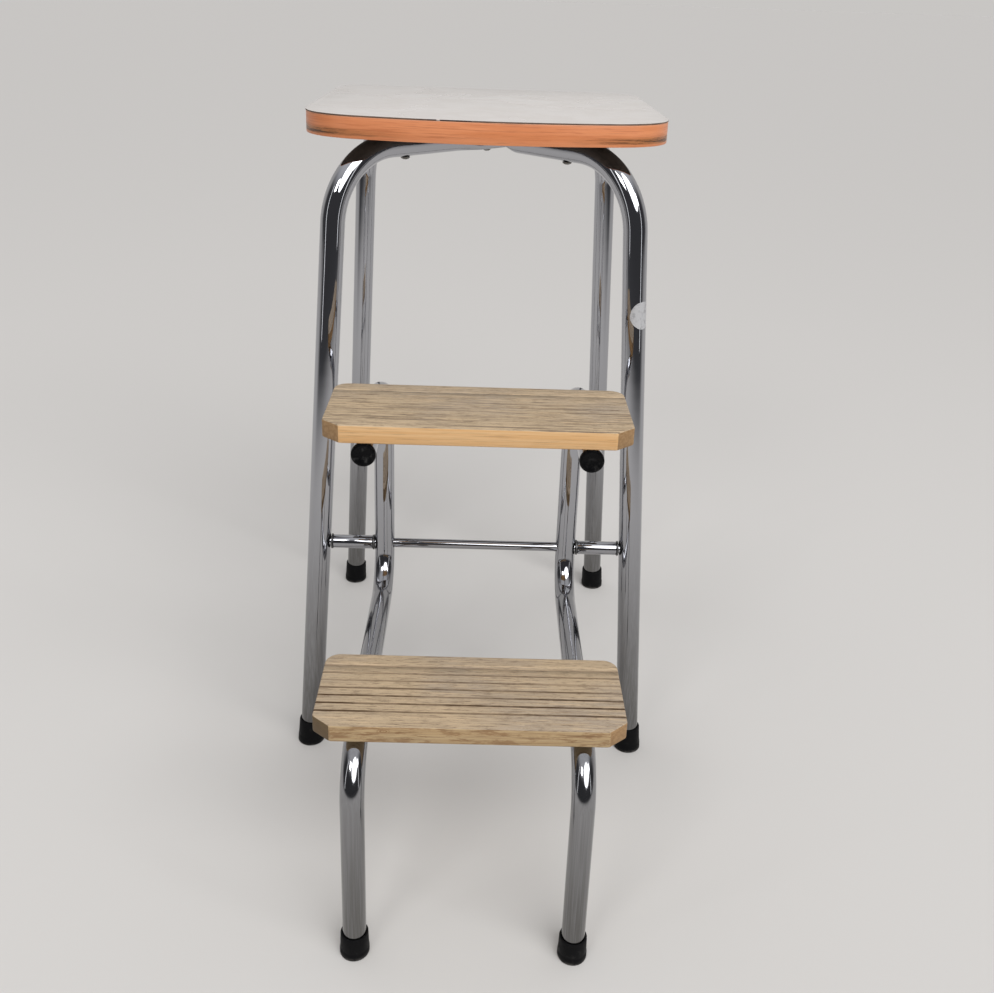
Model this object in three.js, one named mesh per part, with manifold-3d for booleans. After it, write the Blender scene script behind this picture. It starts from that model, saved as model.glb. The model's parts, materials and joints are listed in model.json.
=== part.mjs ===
// Folding step stool chair: a laminated seat on two crossed leg frames of bent chrome tube, with a
// two-step unit that swings on a rod between the front legs and stows under the seat.
// Millimetres, +Z up, the steps towards -Y. One node for each physical piece.
import * as THREE from 'three';
import { mergeVertices } from 'three/addons/utils/BufferGeometryUtils.js';
import Module from 'manifold-3d';

const wasm = await Module();
wasm.setup();

// Driving dimensions
const SEAT_HEIGHT = 630;
const SEAT_WIDTH = 328;
const SEAT_DEPTH = 320;
const SEAT_THICKNESS = 20;
const SEAT_SETBACK = 8;
const SEAT_BOW = 26;
const FRONT_CORNER = 54;
const REAR_CORNER = 36;
const LAMINATE = 1.0;
const BACKING = 0.8;
const EDGE_BAND = 1.4;
const BAND_SETBACK = 0.4;
const CORNER_RUN_SHARE = 0.92;

const LEG_TUBE = 22;
const LEG_WALL = 1.5;
const LEG_BEND_RADIUS = 68;
const FRAME_ANGLE = THREE.MathUtils.degToRad(45);
const FRONT_FOOT_REACH = 233;
const REAR_FOOT_REACH = 222;
const CROWN_REACH = 191;
const PRESSED_HEIGHT = 10.4;
const PRESSED_FLAT = 17;
const PRESSED_BLEND = 28;

const STEP_TUBE = 19;
const STEP_WALL = 1.5;
const STEP_BEND_RADIUS = 38;
const STEP_TUBE_SPACING = 177;
const STEP_FOOT_Y = -424;
const ROD_HEIGHT = 226;
const ROD = 9;
const SLEEVE = 13;

const BOARD_WIDTH = 243;
const BOARD_DEPTH = 93;
const BOARD_THICKNESS = 15;
const BOARD_FRONT_CHAMFER_X = 14.5;
const BOARD_FRONT_CHAMFER_Y = 12;
const BOARD_REAR_ROUND = 12;
const BOARD_BEVEL = 1.2;
const UPPER_BOARD_FRONT = -322;
const LOWER_BOARD_FRONT = -409;
const GROOVES = 8;
const GROOVE_WIDTH = 1.3;
const GROOVE_DEPTH = 0.9;
const GROOVE_FRONT_MARGIN = 20;
const GROOVE_REAR_MARGIN = 13;

const LEG_CAP_HEIGHT = 25;
const LEG_CAP = 27;
const STEP_CAP_HEIGHT = 21;
const STEP_CAP = 24;
const CAP_FLOOR = 6;
const CAP_TAPER = 0.75;
const CAP_LIP = 1;
const CAP_SHOULDER_SHARE = 0.25;
const PLUG_FLANGE_DEPTH = 3.5;
const PLUG_ROUNDING = 1.4;
const PLUG_STEM_DEPTH = 12;
const PLUG_STEM_TAPER = 1;
const ROD_CHAMFER = 1;
const WASHER = 14.5;
const WASHER_THICKNESS = 1.6;

const SCREW_SHANK = 4.5;
const SCREW_HEAD = 9;
const SCREW_HEAD_HEIGHT = 2.6;
const SCREW_DOME_SHARES = [[0, 1], [0.55, 0.92], [0.85, 0.6], [1, 0]];
const SCREW_GRIP = 9;
const BOARD_SCREW_GRIP = 11;
const ARM_SCREW_REACH = 106;
const BOARD_SCREW_INSET = 22;

const GAP = 0.3;
const FIT = 0.25;

const PRESS_STOP_SHARES = [1, 0.75, 0.5, 0.25, 0];
const WELD_DISTANCE = 1e-4;
const STRAIGHT_ANGLE = 1e-3;

// Worked out from the driving dimensions
const STEP_RISE = SEAT_HEIGHT / 3;
const SEAT_BOTTOM = SEAT_HEIGHT - SEAT_THICKNESS;
const SEAT_FRONT = SEAT_SETBACK - SEAT_DEPTH / 2;
const SEAT_REAR = SEAT_SETBACK + SEAT_DEPTH / 2;
const CROWN_HEIGHT = SEAT_BOTTOM - GAP - LEG_TUBE / 2;
const BEND_START = CROWN_HEIGHT - LEG_BEND_RADIUS;
const FRONT_LEAN = (FRONT_FOOT_REACH - CROWN_REACH) / BEND_START;
const REAR_LEAN = (REAR_FOOT_REACH - CROWN_REACH) / BEND_START;
const ROD_REACH = FRONT_FOOT_REACH - FRONT_LEAN * ROD_HEIGHT;
const ROD_Y = -ROD_REACH * Math.cos(FRAME_ANGLE);
const LEG_X_AT_ROD = ROD_REACH * Math.sin(FRAME_ANGLE);
const STEP_TUBE_X = STEP_TUBE_SPACING / 2;

const TUBE_SIDES = 16;
const LATHE_SIDES = 20;
const SMALL_SIDES = 8;
const BEND_STEPS = 6;
const OUTLINE_STEPS = 10;
const ROUND_STEPS = 4;
const BEVEL_STEPS = 1;

// Materials
const chrome = new THREE.MeshStandardMaterial({ color: 0xc9ccd2, roughness: 0.12, metalness: 1 });
const steel = new THREE.MeshStandardMaterial({ color: 0x5c5e62, roughness: 0.35, metalness: 1 });
const rubber = new THREE.MeshStandardMaterial({ color: 0x121212, roughness: 0.65, metalness: 0 });
const laminate = new THREE.MeshStandardMaterial({ color: 0xd6d4d0, roughness: 0.25, metalness: 0 });
const band = new THREE.MeshStandardMaterial({ color: 0xd6855a, roughness: 0.35, metalness: 0 });
const coreWood = new THREE.MeshStandardMaterial({ color: 0xb89468, roughness: 0.8, metalness: 0 });
const stepWood = new THREE.MeshStandardMaterial({ color: 0xb79a78, roughness: 0.6, metalness: 0 });

// Solids and booleans

function toSolid(geometry) {
  const bare = geometry.clone();
  bare.deleteAttribute('normal');
  bare.deleteAttribute('uv');
  const merged = mergeVertices(bare, WELD_DISTANCE);
  const mesh = new wasm.Mesh({
    numProp: 3,
    vertProperties: new Float32Array(merged.attributes.position.array),
    triVerts: new Uint32Array(merged.index.array),
  });
  return new wasm.Manifold(mesh);
}

function toGeometry(solid) {
  const mesh = solid.getMesh();
  const geometry = new THREE.BufferGeometry();
  geometry.setAttribute('position', new THREE.BufferAttribute(new Float32Array(mesh.vertProperties), 3));
  geometry.setIndex(new THREE.BufferAttribute(new Uint32Array(mesh.triVerts), 1));
  geometry.computeVertexNormals();
  return geometry;
}

function cut(geometry, cutters) {
  let solid = toSolid(geometry);
  for (const cutter of cutters) {
    solid = solid.subtract(toSolid(cutter));
  }
  return toGeometry(solid);
}

// A cylinder between two points, used as a cutter for holes
function drill(from, to, diameter, sides = SMALL_SIDES) {
  const axis = new THREE.Vector3().subVectors(to, from);
  const geometry = new THREE.CylinderGeometry(diameter / 2, diameter / 2, axis.length(), sides);
  const turn = new THREE.Quaternion().setFromUnitVectors(new THREE.Vector3(0, 1, 0), axis.clone().normalize());
  geometry.applyQuaternion(turn);
  geometry.translate((from.x + to.x) / 2, (from.y + to.y) / 2, (from.z + to.z) / 2);
  return geometry;
}

// Bent tube

// A path of straight runs and circular bends, with stations only where the tube needs them
class BentPath extends THREE.Curve {
  constructor(corners, bendRadius) {
    super();
    this.stations = [];
    const last = corners.length - 1;
    for (let i = 0; i <= last; i += 1) {
      const into = new THREE.Vector3().subVectors(corners[i], corners[Math.max(i - 1, 0)]).normalize();
      const away = new THREE.Vector3().subVectors(corners[Math.min(i + 1, last)], corners[i]).normalize();
      const turn = i === 0 || i === last ? 0 : into.angleTo(away);
      if (turn < STRAIGHT_ANGLE) {
        this.stations.push({ point: corners[i].clone(), tangent: i === last ? into : away });
      } else {
        this.addBend(corners[i], into, away, turn, bendRadius);
      }
    }
  }

  addBend(corner, into, away, turn, bendRadius) {
    const reach = bendRadius * Math.tan(turn / 2);
    const start = corner.clone().addScaledVector(into, -reach);
    const axis = new THREE.Vector3().crossVectors(into, away).normalize();
    const inward = new THREE.Vector3().crossVectors(axis, into);
    const centre = start.clone().addScaledVector(inward, bendRadius);
    for (let k = 0; k <= BEND_STEPS; k += 1) {
      const angle = (turn * k) / BEND_STEPS;
      const spoke = inward.clone().multiplyScalar(-bendRadius).applyAxisAngle(axis, angle);
      this.stations.push({
        point: centre.clone().add(spoke),
        tangent: into.clone().applyAxisAngle(axis, angle),
      });
    }
  }

  get steps() {
    return this.stations.length - 1;
  }

  getUtoTmapping(u) {
    return u;
  }

  getPoint(t, target = new THREE.Vector3()) {
    const at = Math.round(t * this.steps);
    return target.copy(this.stations[at].point);
  }

  getTangent(t, target = new THREE.Vector3()) {
    const at = Math.round(t * this.steps);
    return target.copy(this.stations[at].tangent);
  }
}

function ring(diameter, sides) {
  const points = [];
  for (let i = 0; i < sides; i += 1) {
    const angle = ((i + 0.5) / sides) * 2 * Math.PI;
    points.push(new THREE.Vector2(Math.cos(angle), Math.sin(angle)).multiplyScalar(diameter / 2));
  }
  return points;
}

function hollowTube(corners, bendRadius, diameter, wall) {
  const path = new BentPath(corners, bendRadius);
  const section = new THREE.Shape(ring(diameter, TUBE_SIDES));
  section.holes.push(new THREE.Path(ring(diameter - 2 * wall, TUBE_SIDES)));
  return new THREE.ExtrudeGeometry(section, { steps: path.steps, extrudePath: path, bevelEnabled: false });
}

// A turned piece standing on z = 0, from a closed profile of [radius, height] pairs
function turned(profile, sides = LATHE_SIDES) {
  const points = profile.map(([radius, height]) => new THREE.Vector2(radius, height));
  const geometry = new THREE.LatheGeometry(points, sides);
  geometry.rotateX(Math.PI / 2);
  return geometry;
}

// Leg frames

// Half the pressed shape: how much of the press applies at a distance from the crossing
function pressShare(distance) {
  return 1 - THREE.MathUtils.smoothstep(distance, PRESSED_FLAT, PRESSED_FLAT + PRESSED_BLEND);
}

// Presses the crown of a frame flat where the two frames cross, up (+1) or down (-1).
// The frame lies in its local XZ plane with the crossing at x = 0.
function pressCrown(geometry, side) {
  const position = geometry.attributes.position;
  for (let i = 0; i < position.count; i += 1) {
    const x = position.getX(i);
    const y = position.getY(i);
    const rise = position.getZ(i) - CROWN_HEIGHT;
    const share = rise > -LEG_TUBE ? pressShare(Math.abs(x)) : 0;
    if (share > 0) {
      const radius = Math.hypot(y, rise);
      const pressedRadius = PRESSED_HEIGHT / 2 - (LEG_TUBE / 2 - radius);
      const squeeze = THREE.MathUtils.lerp(1, pressedRadius / radius, share);
      const spread = share * (Math.PI / 4) * (LEG_TUBE - PRESSED_HEIGHT);
      const shift = (share * side * (LEG_TUBE - PRESSED_HEIGHT)) / 2;
      position.setY(i, y * squeeze + Math.sign(y) * spread);
      position.setZ(i, CROWN_HEIGHT + rise * squeeze + shift);
    }
  }
  return geometry;
}

function frameCorners() {
  const footZ = CAP_FLOOR + GAP + (LEG_TUBE / 2) * FRONT_LEAN;
  const frontCorner = FRONT_FOOT_REACH - FRONT_LEAN * CROWN_HEIGHT;
  const rearCorner = REAR_FOOT_REACH - REAR_LEAN * CROWN_HEIGHT;
  const corners = [
    new THREE.Vector3(FRONT_FOOT_REACH - FRONT_LEAN * footZ, 0, footZ),
    new THREE.Vector3(frontCorner, 0, CROWN_HEIGHT),
  ];
  const reach = PRESSED_FLAT + PRESSED_BLEND;
  const stops = PRESS_STOP_SHARES.map((share) => PRESSED_FLAT + share * PRESSED_BLEND);
  const far = [reach + LEG_TUBE / 2, ...stops];
  for (const x of [...far, ...far.map((value) => -value).reverse()]) {
    corners.push(new THREE.Vector3(x, 0, CROWN_HEIGHT));
  }
  corners.push(new THREE.Vector3(-rearCorner, 0, CROWN_HEIGHT));
  corners.push(new THREE.Vector3(-(REAR_FOOT_REACH - REAR_LEAN * footZ), 0, footZ));
  return corners;
}

// Angle that turns a frame's local +X onto the front leg on the given side
function frameTurn(side) {
  return Math.atan2(-Math.cos(FRAME_ANGLE), side * Math.sin(FRAME_ANGLE));
}

// The place at a distance from the crossing along a frame, towards the front leg or, below 0, the rear
function placeOnFrame(reach, side) {
  return new THREE.Vector3(reach, 0, 0).applyAxisAngle(new THREE.Vector3(0, 0, 1), frameTurn(side));
}

function legFrame(side) {
  const tube = hollowTube(frameCorners(), LEG_BEND_RADIUS, LEG_TUBE, LEG_WALL);
  pressCrown(tube, side);
  const below = CROWN_HEIGHT - LEG_TUBE;
  const above = CROWN_HEIGHT + LEG_TUBE;
  const holes = [0, ARM_SCREW_REACH, -ARM_SCREW_REACH].map((x) => drill(
    new THREE.Vector3(x, 0, below),
    new THREE.Vector3(x, 0, above),
    SCREW_SHANK + 2 * FIT,
  ));
  const rodHole = drill(
    new THREE.Vector3(side * (LEG_X_AT_ROD - LEG_TUBE), ROD_Y, ROD_HEIGHT),
    new THREE.Vector3(side * LEG_X_AT_ROD, ROD_Y, ROD_HEIGHT),
    ROD + 2 * FIT,
    LATHE_SIDES,
  );
  rodHole.rotateZ(-frameTurn(side));
  const mesh = new THREE.Mesh(cut(tube, [...holes, rodHole]), chrome);
  mesh.rotation.z = frameTurn(side);
  return mesh;
}

// A cup of rubber that the end of a leaning tube stands in, cut level at the floor
function footCup(outer, tube, height) {
  const top = outer / 2 - CAP_TAPER;
  const bore = tube / 2 + GAP;
  const below = outer;
  return turned([
    [0, -below],
    [outer / 2, -below],
    [outer / 2, height * CAP_SHOULDER_SHARE],
    [top, height - CAP_LIP],
    [top - CAP_LIP, height],
    [bore, height],
    [bore, CAP_FLOOR],
    [0, CAP_FLOOR],
  ]);
}

function levelAtFloor(geometry, reach) {
  const slab = new THREE.BoxGeometry(2 * reach, 2 * reach, reach);
  slab.translate(0, 0, -reach / 2);
  return cut(geometry, [slab]);
}

function legFoot(side, front) {
  const cup = footCup(LEG_CAP, LEG_TUBE, LEG_CAP_HEIGHT);
  cup.rotateY(front ? -Math.atan(FRONT_LEAN) : Math.atan(REAR_LEAN));
  const mesh = new THREE.Mesh(levelAtFloor(cup, 2 * LEG_CAP), rubber);
  const reach = front ? FRONT_FOOT_REACH : -REAR_FOOT_REACH;
  mesh.position.copy(placeOnFrame(reach, side));
  mesh.rotation.z = frameTurn(side);
  return mesh;
}

// Screws

// A dome-headed screw standing head down, its shank reaching up to the given length
function screw(length) {
  const dome = SCREW_DOME_SHARES.map(([out, down]) => [(out * SCREW_HEAD) / 2, -down * SCREW_HEAD_HEIGHT]);
  return turned([
    ...dome,
    [SCREW_SHANK / 2, 0],
    [SCREW_SHANK / 2, length - SCREW_SHANK / 2],
    [0, length],
  ], SMALL_SIDES);
}

function seatScrew(place) {
  const headZ = CROWN_HEIGHT - LEG_TUBE / 2 - GAP;
  const mesh = new THREE.Mesh(screw(SEAT_BOTTOM + SCREW_GRIP - headZ), steel);
  mesh.position.set(place.x, place.y, headZ);
  return mesh;
}

// Seat

// The seat's outline drawn in by an inset: bowed front edge, soft front corners, straight rear
function seatOutline(inset, Kind = THREE.Shape) {
  const half = SEAT_WIDTH / 2 - inset;
  const front = SEAT_FRONT + inset;
  const rear = SEAT_REAR - inset;
  const rearCorner = REAR_CORNER - inset;
  const bowAt = (x) => front + SEAT_BOW * (x / half) ** 2;
  const bowSlope = (x) => (2 * SEAT_BOW * x) / half ** 2;
  const turnX = half - FRONT_CORNER;
  const cornerY = bowAt(turnX) + bowSlope(turnX) * FRONT_CORNER;
  const sideStart = cornerY + CORNER_RUN_SHARE * FRONT_CORNER;
  const outline = new Kind();
  outline.moveTo(-turnX, bowAt(turnX));
  outline.quadraticCurveTo(0, 2 * front - bowAt(turnX), turnX, bowAt(turnX));
  outline.quadraticCurveTo(half, cornerY, half, sideStart);
  outline.lineTo(half, rear - rearCorner);
  outline.quadraticCurveTo(half, rear, half - rearCorner, rear);
  outline.lineTo(-(half - rearCorner), rear);
  outline.quadraticCurveTo(-half, rear, -half, rear - rearCorner);
  outline.lineTo(-half, sideStart);
  outline.quadraticCurveTo(-half, cornerY, -turnX, bowAt(turnX));
  return outline;
}

function slab(outline, bottom, top) {
  const geometry = new THREE.ExtrudeGeometry(outline, {
    depth: top - bottom,
    bevelEnabled: false,
    curveSegments: OUTLINE_STEPS,
  });
  geometry.translate(0, 0, bottom);
  return geometry;
}

const seatScrewPlaces = [];
for (const side of [-1, 1]) {
  seatScrewPlaces.push({ name: side < 0 ? 'front_left' : 'front_right', at: placeOnFrame(ARM_SCREW_REACH, side) });
  seatScrewPlaces.push({ name: side < 0 ? 'rear_right' : 'rear_left', at: placeOnFrame(-ARM_SCREW_REACH, side) });
}
seatScrewPlaces.push({ name: 'centre', at: new THREE.Vector3() });

function seatScrewHoles() {
  return seatScrewPlaces.map(({ at }) => drill(
    new THREE.Vector3(at.x, at.y, SEAT_BOTTOM - LEG_TUBE),
    new THREE.Vector3(at.x, at.y, SEAT_BOTTOM + SCREW_GRIP + GAP),
    SCREW_SHANK + 2 * FIT,
  ));
}

function seatPieces() {
  const top = new THREE.Mesh(slab(seatOutline(0), SEAT_HEIGHT - LAMINATE, SEAT_HEIGHT), laminate);
  const holes = seatScrewHoles();
  const inner = EDGE_BAND + GAP;
  const core = slab(seatOutline(inner), SEAT_BOTTOM + BACKING + GAP, SEAT_HEIGHT - LAMINATE - GAP);
  const backing = slab(seatOutline(inner), SEAT_BOTTOM, SEAT_BOTTOM + BACKING);
  const bandShape = seatOutline(BAND_SETBACK);
  bandShape.holes.push(seatOutline(EDGE_BAND, THREE.Path));
  const edge = slab(bandShape, SEAT_BOTTOM, SEAT_HEIGHT - LAMINATE - GAP);
  return {
    seat_top_laminate: top,
    seat_core_board: new THREE.Mesh(cut(core, holes), coreWood),
    seat_backing_sheet: new THREE.Mesh(cut(backing, holes), coreWood),
    seat_edge_band: new THREE.Mesh(edge, band),
  };
}

// Step unit

const UPPER_TUBE_Z = 2 * STEP_RISE - BOARD_THICKNESS - GAP - STEP_TUBE / 2;
const LOWER_TUBE_Z = STEP_RISE - BOARD_THICKNESS - GAP - STEP_TUBE / 2;
const PLUG_FLANGE = STEP_TUBE + 2 * GAP;
const UPPER_TUBE_FRONT = UPPER_BOARD_FRONT + PLUG_FLANGE_DEPTH + GAP;

function stepTube(side) {
  const x = side * STEP_TUBE_X;
  const corners = [
    new THREE.Vector3(x, UPPER_TUBE_FRONT, UPPER_TUBE_Z),
    new THREE.Vector3(x, ROD_Y, UPPER_TUBE_Z),
    new THREE.Vector3(x, ROD_Y, LOWER_TUBE_Z),
    new THREE.Vector3(x, STEP_FOOT_Y, LOWER_TUBE_Z),
    new THREE.Vector3(x, STEP_FOOT_Y, CAP_FLOOR + GAP),
  ];
  const tube = hollowTube(corners, STEP_BEND_RADIUS, STEP_TUBE, STEP_WALL);
  const rodHole = drill(
    new THREE.Vector3(x - STEP_TUBE, ROD_Y, ROD_HEIGHT),
    new THREE.Vector3(x + STEP_TUBE, ROD_Y, ROD_HEIGHT),
    ROD + 2 * FIT,
    LATHE_SIDES,
  );
  const screwHoles = boardScrewPlaces.map(({ y, tubeZ }) => drill(
    new THREE.Vector3(x, y, tubeZ - STEP_TUBE),
    new THREE.Vector3(x, y, tubeZ + STEP_TUBE),
    SCREW_SHANK + 2 * FIT,
  ));
  return new THREE.Mesh(cut(tube, [rodHole, ...screwHoles]), chrome);
}

const boardScrewPlaces = [];
for (const [level, front, tubeZ] of [
  ['upper', UPPER_BOARD_FRONT, UPPER_TUBE_Z],
  ['lower', LOWER_BOARD_FRONT, LOWER_TUBE_Z],
]) {
  const rearY = front + BOARD_DEPTH - BOARD_SCREW_INSET;
  const frontY = Math.max(front + BOARD_SCREW_INSET, STEP_FOOT_Y + STEP_BEND_RADIUS + SCREW_HEAD);
  boardScrewPlaces.push({ name: `${level}_rear`, level, y: rearY, tubeZ });
  boardScrewPlaces.push({ name: `${level}_front`, level, y: frontY, tubeZ });
}

// A step board's outline: sawn corners in front and round ones at the rear
function boardOutline(front) {
  const half = BOARD_WIDTH / 2;
  const rear = front + BOARD_DEPTH;
  const round = BOARD_REAR_ROUND;
  const outline = new THREE.Shape();
  outline.moveTo(-half + BOARD_FRONT_CHAMFER_X, front);
  outline.lineTo(half - BOARD_FRONT_CHAMFER_X, front);
  outline.lineTo(half, front + BOARD_FRONT_CHAMFER_Y);
  outline.lineTo(half, rear - round);
  outline.absarc(half - round, rear - round, round, 0, Math.PI / 2, false);
  outline.lineTo(-half + round, rear);
  outline.absarc(-half + round, rear - round, round, Math.PI / 2, Math.PI, false);
  outline.lineTo(-half, front + BOARD_FRONT_CHAMFER_Y);
  outline.closePath();
  return outline;
}

function stepBoard(front, top, level) {
  const geometry = new THREE.ExtrudeGeometry(boardOutline(front), {
    depth: BOARD_THICKNESS - 2 * BOARD_BEVEL,
    curveSegments: ROUND_STEPS,
    bevelEnabled: true,
    bevelThickness: BOARD_BEVEL,
    bevelSize: BOARD_BEVEL,
    bevelOffset: -BOARD_BEVEL,
    bevelSegments: BEVEL_STEPS,
  });
  geometry.translate(0, 0, top - BOARD_THICKNESS + BOARD_BEVEL);
  const cutters = [];
  const pitch = (BOARD_DEPTH - GROOVE_FRONT_MARGIN - GROOVE_REAR_MARGIN) / (GROOVES - 1);
  for (let i = 0; i < GROOVES; i += 1) {
    const groove = new THREE.BoxGeometry(2 * BOARD_WIDTH, GROOVE_WIDTH, 2 * GROOVE_DEPTH);
    groove.translate(0, front + GROOVE_FRONT_MARGIN + i * pitch, top);
    cutters.push(groove);
  }
  for (const place of boardScrewPlaces.filter((entry) => entry.level === level)) {
    for (const side of [-1, 1]) {
      cutters.push(drill(
        new THREE.Vector3(side * STEP_TUBE_X, place.y, top - 2 * BOARD_THICKNESS),
        new THREE.Vector3(side * STEP_TUBE_X, place.y, top - BOARD_THICKNESS + BOARD_SCREW_GRIP),
        SCREW_SHANK + 2 * FIT,
      ));
    }
  }
  return new THREE.Mesh(cut(geometry, cutters), stepWood);
}

function boardScrew(side, place) {
  const headZ = place.tubeZ - STEP_TUBE / 2 - GAP;
  const reach = place.tubeZ + STEP_TUBE / 2 + BOARD_SCREW_GRIP - headZ;
  const mesh = new THREE.Mesh(screw(reach), steel);
  mesh.position.set(side * STEP_TUBE_X, place.y, headZ);
  return mesh;
}

function tubePlug(side) {
  const flange = PLUG_FLANGE / 2;
  const stem = STEP_TUBE / 2 - STEP_WALL - FIT;
  const geometry = turned([
    [0, 0],
    [flange - PLUG_ROUNDING, 0],
    [flange, PLUG_ROUNDING],
    [flange, PLUG_FLANGE_DEPTH],
    [stem, PLUG_FLANGE_DEPTH],
    [stem - PLUG_STEM_TAPER, PLUG_FLANGE_DEPTH + PLUG_STEM_DEPTH],
    [0, PLUG_FLANGE_DEPTH + PLUG_STEM_DEPTH],
  ]);
  geometry.rotateX(-Math.PI / 2);
  const mesh = new THREE.Mesh(geometry, rubber);
  mesh.position.set(side * STEP_TUBE_X, UPPER_BOARD_FRONT, UPPER_TUBE_Z);
  return mesh;
}

function stepFoot(side) {
  const cup = footCup(STEP_CAP, STEP_TUBE, STEP_CAP_HEIGHT);
  const mesh = new THREE.Mesh(levelAtFloor(cup, 2 * STEP_CAP), rubber);
  mesh.position.set(side * STEP_TUBE_X, STEP_FOOT_Y, 0);
  return mesh;
}

// Pivot rod, spacer sleeves and washers

const ROD_END_X = LEG_X_AT_ROD + LEG_TUBE / 4;
const LEG_FACE_X = LEG_X_AT_ROD - (LEG_TUBE / 2) / Math.cos(Math.atan(FRONT_LEAN)) - (WASHER / 2) * FRONT_LEAN;
const TUBE_FACE_X = STEP_TUBE_X + STEP_TUBE / 2;

function tubeOnRod(outer, bore, from, to, material) {
  const length = to - from;
  const geometry = turned([
    [bore / 2, 0], [outer / 2, 0], [outer / 2, length], [bore / 2, length], [bore / 2, 0],
  ]);
  geometry.rotateY(Math.PI / 2);
  const mesh = new THREE.Mesh(geometry, material);
  mesh.position.set(from, ROD_Y, ROD_HEIGHT);
  return mesh;
}

function pivotRod() {
  const radius = ROD / 2;
  const length = 2 * ROD_END_X;
  const geometry = turned([
    [0, 0],
    [radius - ROD_CHAMFER, 0],
    [radius, ROD_CHAMFER],
    [radius, length - ROD_CHAMFER],
    [radius - ROD_CHAMFER, length],
    [0, length],
  ]);
  geometry.rotateY(Math.PI / 2);
  const mesh = new THREE.Mesh(geometry, chrome);
  mesh.position.set(-ROD_END_X, ROD_Y, ROD_HEIGHT);
  return mesh;
}

function rodFittings() {
  const bore = ROD + 2 * FIT;
  const innerWasher = TUBE_FACE_X + GAP;
  const sleeveFrom = innerWasher + WASHER_THICKNESS + GAP;
  const outerWasher = LEG_FACE_X - GAP - WASHER_THICKNESS;
  const sleeveTo = outerWasher - GAP;
  const pieces = {};
  for (const [name, side] of [['left', -1], ['right', 1]]) {
    const span = (from, to) => (side > 0 ? [from, to] : [-to, -from]);
    pieces[`washer_inner_${name}`] = tubeOnRod(
      WASHER, bore, ...span(innerWasher, innerWasher + WASHER_THICKNESS), rubber);
    pieces[`spacer_sleeve_${name}`] = tubeOnRod(SLEEVE, bore, ...span(sleeveFrom, sleeveTo), chrome);
    pieces[`washer_outer_${name}`] = tubeOnRod(
      WASHER, bore, ...span(outerWasher, outerWasher + WASHER_THICKNESS), rubber);
  }
  return pieces;
}

// The stool

const stool = new THREE.Group();

function addPiece(name, mesh) {
  mesh.name = name;
  stool.add(mesh);
}

for (const [name, mesh] of Object.entries(seatPieces())) {
  addPiece(name, mesh);
}
addPiece('leg_frame_left', legFrame(-1));
addPiece('leg_frame_right', legFrame(1));
addPiece('leg_foot_front_left', legFoot(-1, true));
addPiece('leg_foot_front_right', legFoot(1, true));
addPiece('leg_foot_rear_right', legFoot(-1, false));
addPiece('leg_foot_rear_left', legFoot(1, false));
for (const { name, at } of seatScrewPlaces) {
  addPiece(`seat_screw_${name}`, seatScrew(at));
}
addPiece('pivot_rod', pivotRod());
for (const [name, mesh] of Object.entries(rodFittings())) {
  addPiece(name, mesh);
}
addPiece('upper_step_board', stepBoard(UPPER_BOARD_FRONT, 2 * STEP_RISE, 'upper'));
addPiece('lower_step_board', stepBoard(LOWER_BOARD_FRONT, STEP_RISE, 'lower'));
for (const [name, side] of [['left', -1], ['right', 1]]) {
  addPiece(`step_tube_${name}`, stepTube(side));
  addPiece(`tube_plug_${name}`, tubePlug(side));
  addPiece(`step_foot_${name}`, stepFoot(side));
  for (const place of boardScrewPlaces) {
    addPiece(`step_screw_${place.name}_${name}`, boardScrew(side, place));
  }
}

// The origin is the centre of the footprint, on the floor
const extent = new THREE.Box3().setFromObject(stool, true);
stool.position.y = -(extent.min.y + extent.max.y) / 2;

export default stool;
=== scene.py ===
"""A folding step stool chair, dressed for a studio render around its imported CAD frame.

Lengths are metres in the frame's own axes: +Z up, the steps towards -Y, +X to the right of
someone who faces the steps.
"""

import json
import logging
import math
from dataclasses import dataclass, field
from enum import Enum
from functools import reduce
from typing import Callable, Sequence

import bmesh
import bpy
from mathutils import Matrix, Vector

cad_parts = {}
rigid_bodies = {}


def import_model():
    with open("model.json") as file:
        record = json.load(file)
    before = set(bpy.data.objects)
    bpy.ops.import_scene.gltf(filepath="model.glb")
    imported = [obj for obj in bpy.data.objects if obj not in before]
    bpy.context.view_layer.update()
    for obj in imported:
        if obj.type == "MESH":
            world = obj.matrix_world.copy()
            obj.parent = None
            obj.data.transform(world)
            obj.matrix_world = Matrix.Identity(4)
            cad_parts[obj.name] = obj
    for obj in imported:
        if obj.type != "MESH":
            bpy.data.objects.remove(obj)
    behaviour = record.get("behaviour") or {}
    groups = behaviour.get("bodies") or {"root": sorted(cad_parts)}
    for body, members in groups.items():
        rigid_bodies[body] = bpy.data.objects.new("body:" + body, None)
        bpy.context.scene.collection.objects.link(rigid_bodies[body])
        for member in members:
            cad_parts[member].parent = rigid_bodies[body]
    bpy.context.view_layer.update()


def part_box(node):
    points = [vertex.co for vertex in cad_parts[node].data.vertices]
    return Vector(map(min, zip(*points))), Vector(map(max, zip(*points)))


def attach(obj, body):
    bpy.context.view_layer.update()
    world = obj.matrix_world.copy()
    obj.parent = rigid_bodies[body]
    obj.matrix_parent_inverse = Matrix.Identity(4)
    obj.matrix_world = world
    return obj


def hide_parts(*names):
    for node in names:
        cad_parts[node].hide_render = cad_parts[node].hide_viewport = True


LOG = logging.getLogger("step_stool")

Colour = tuple[float, float, float]
Point = tuple[float, float, float]

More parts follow.
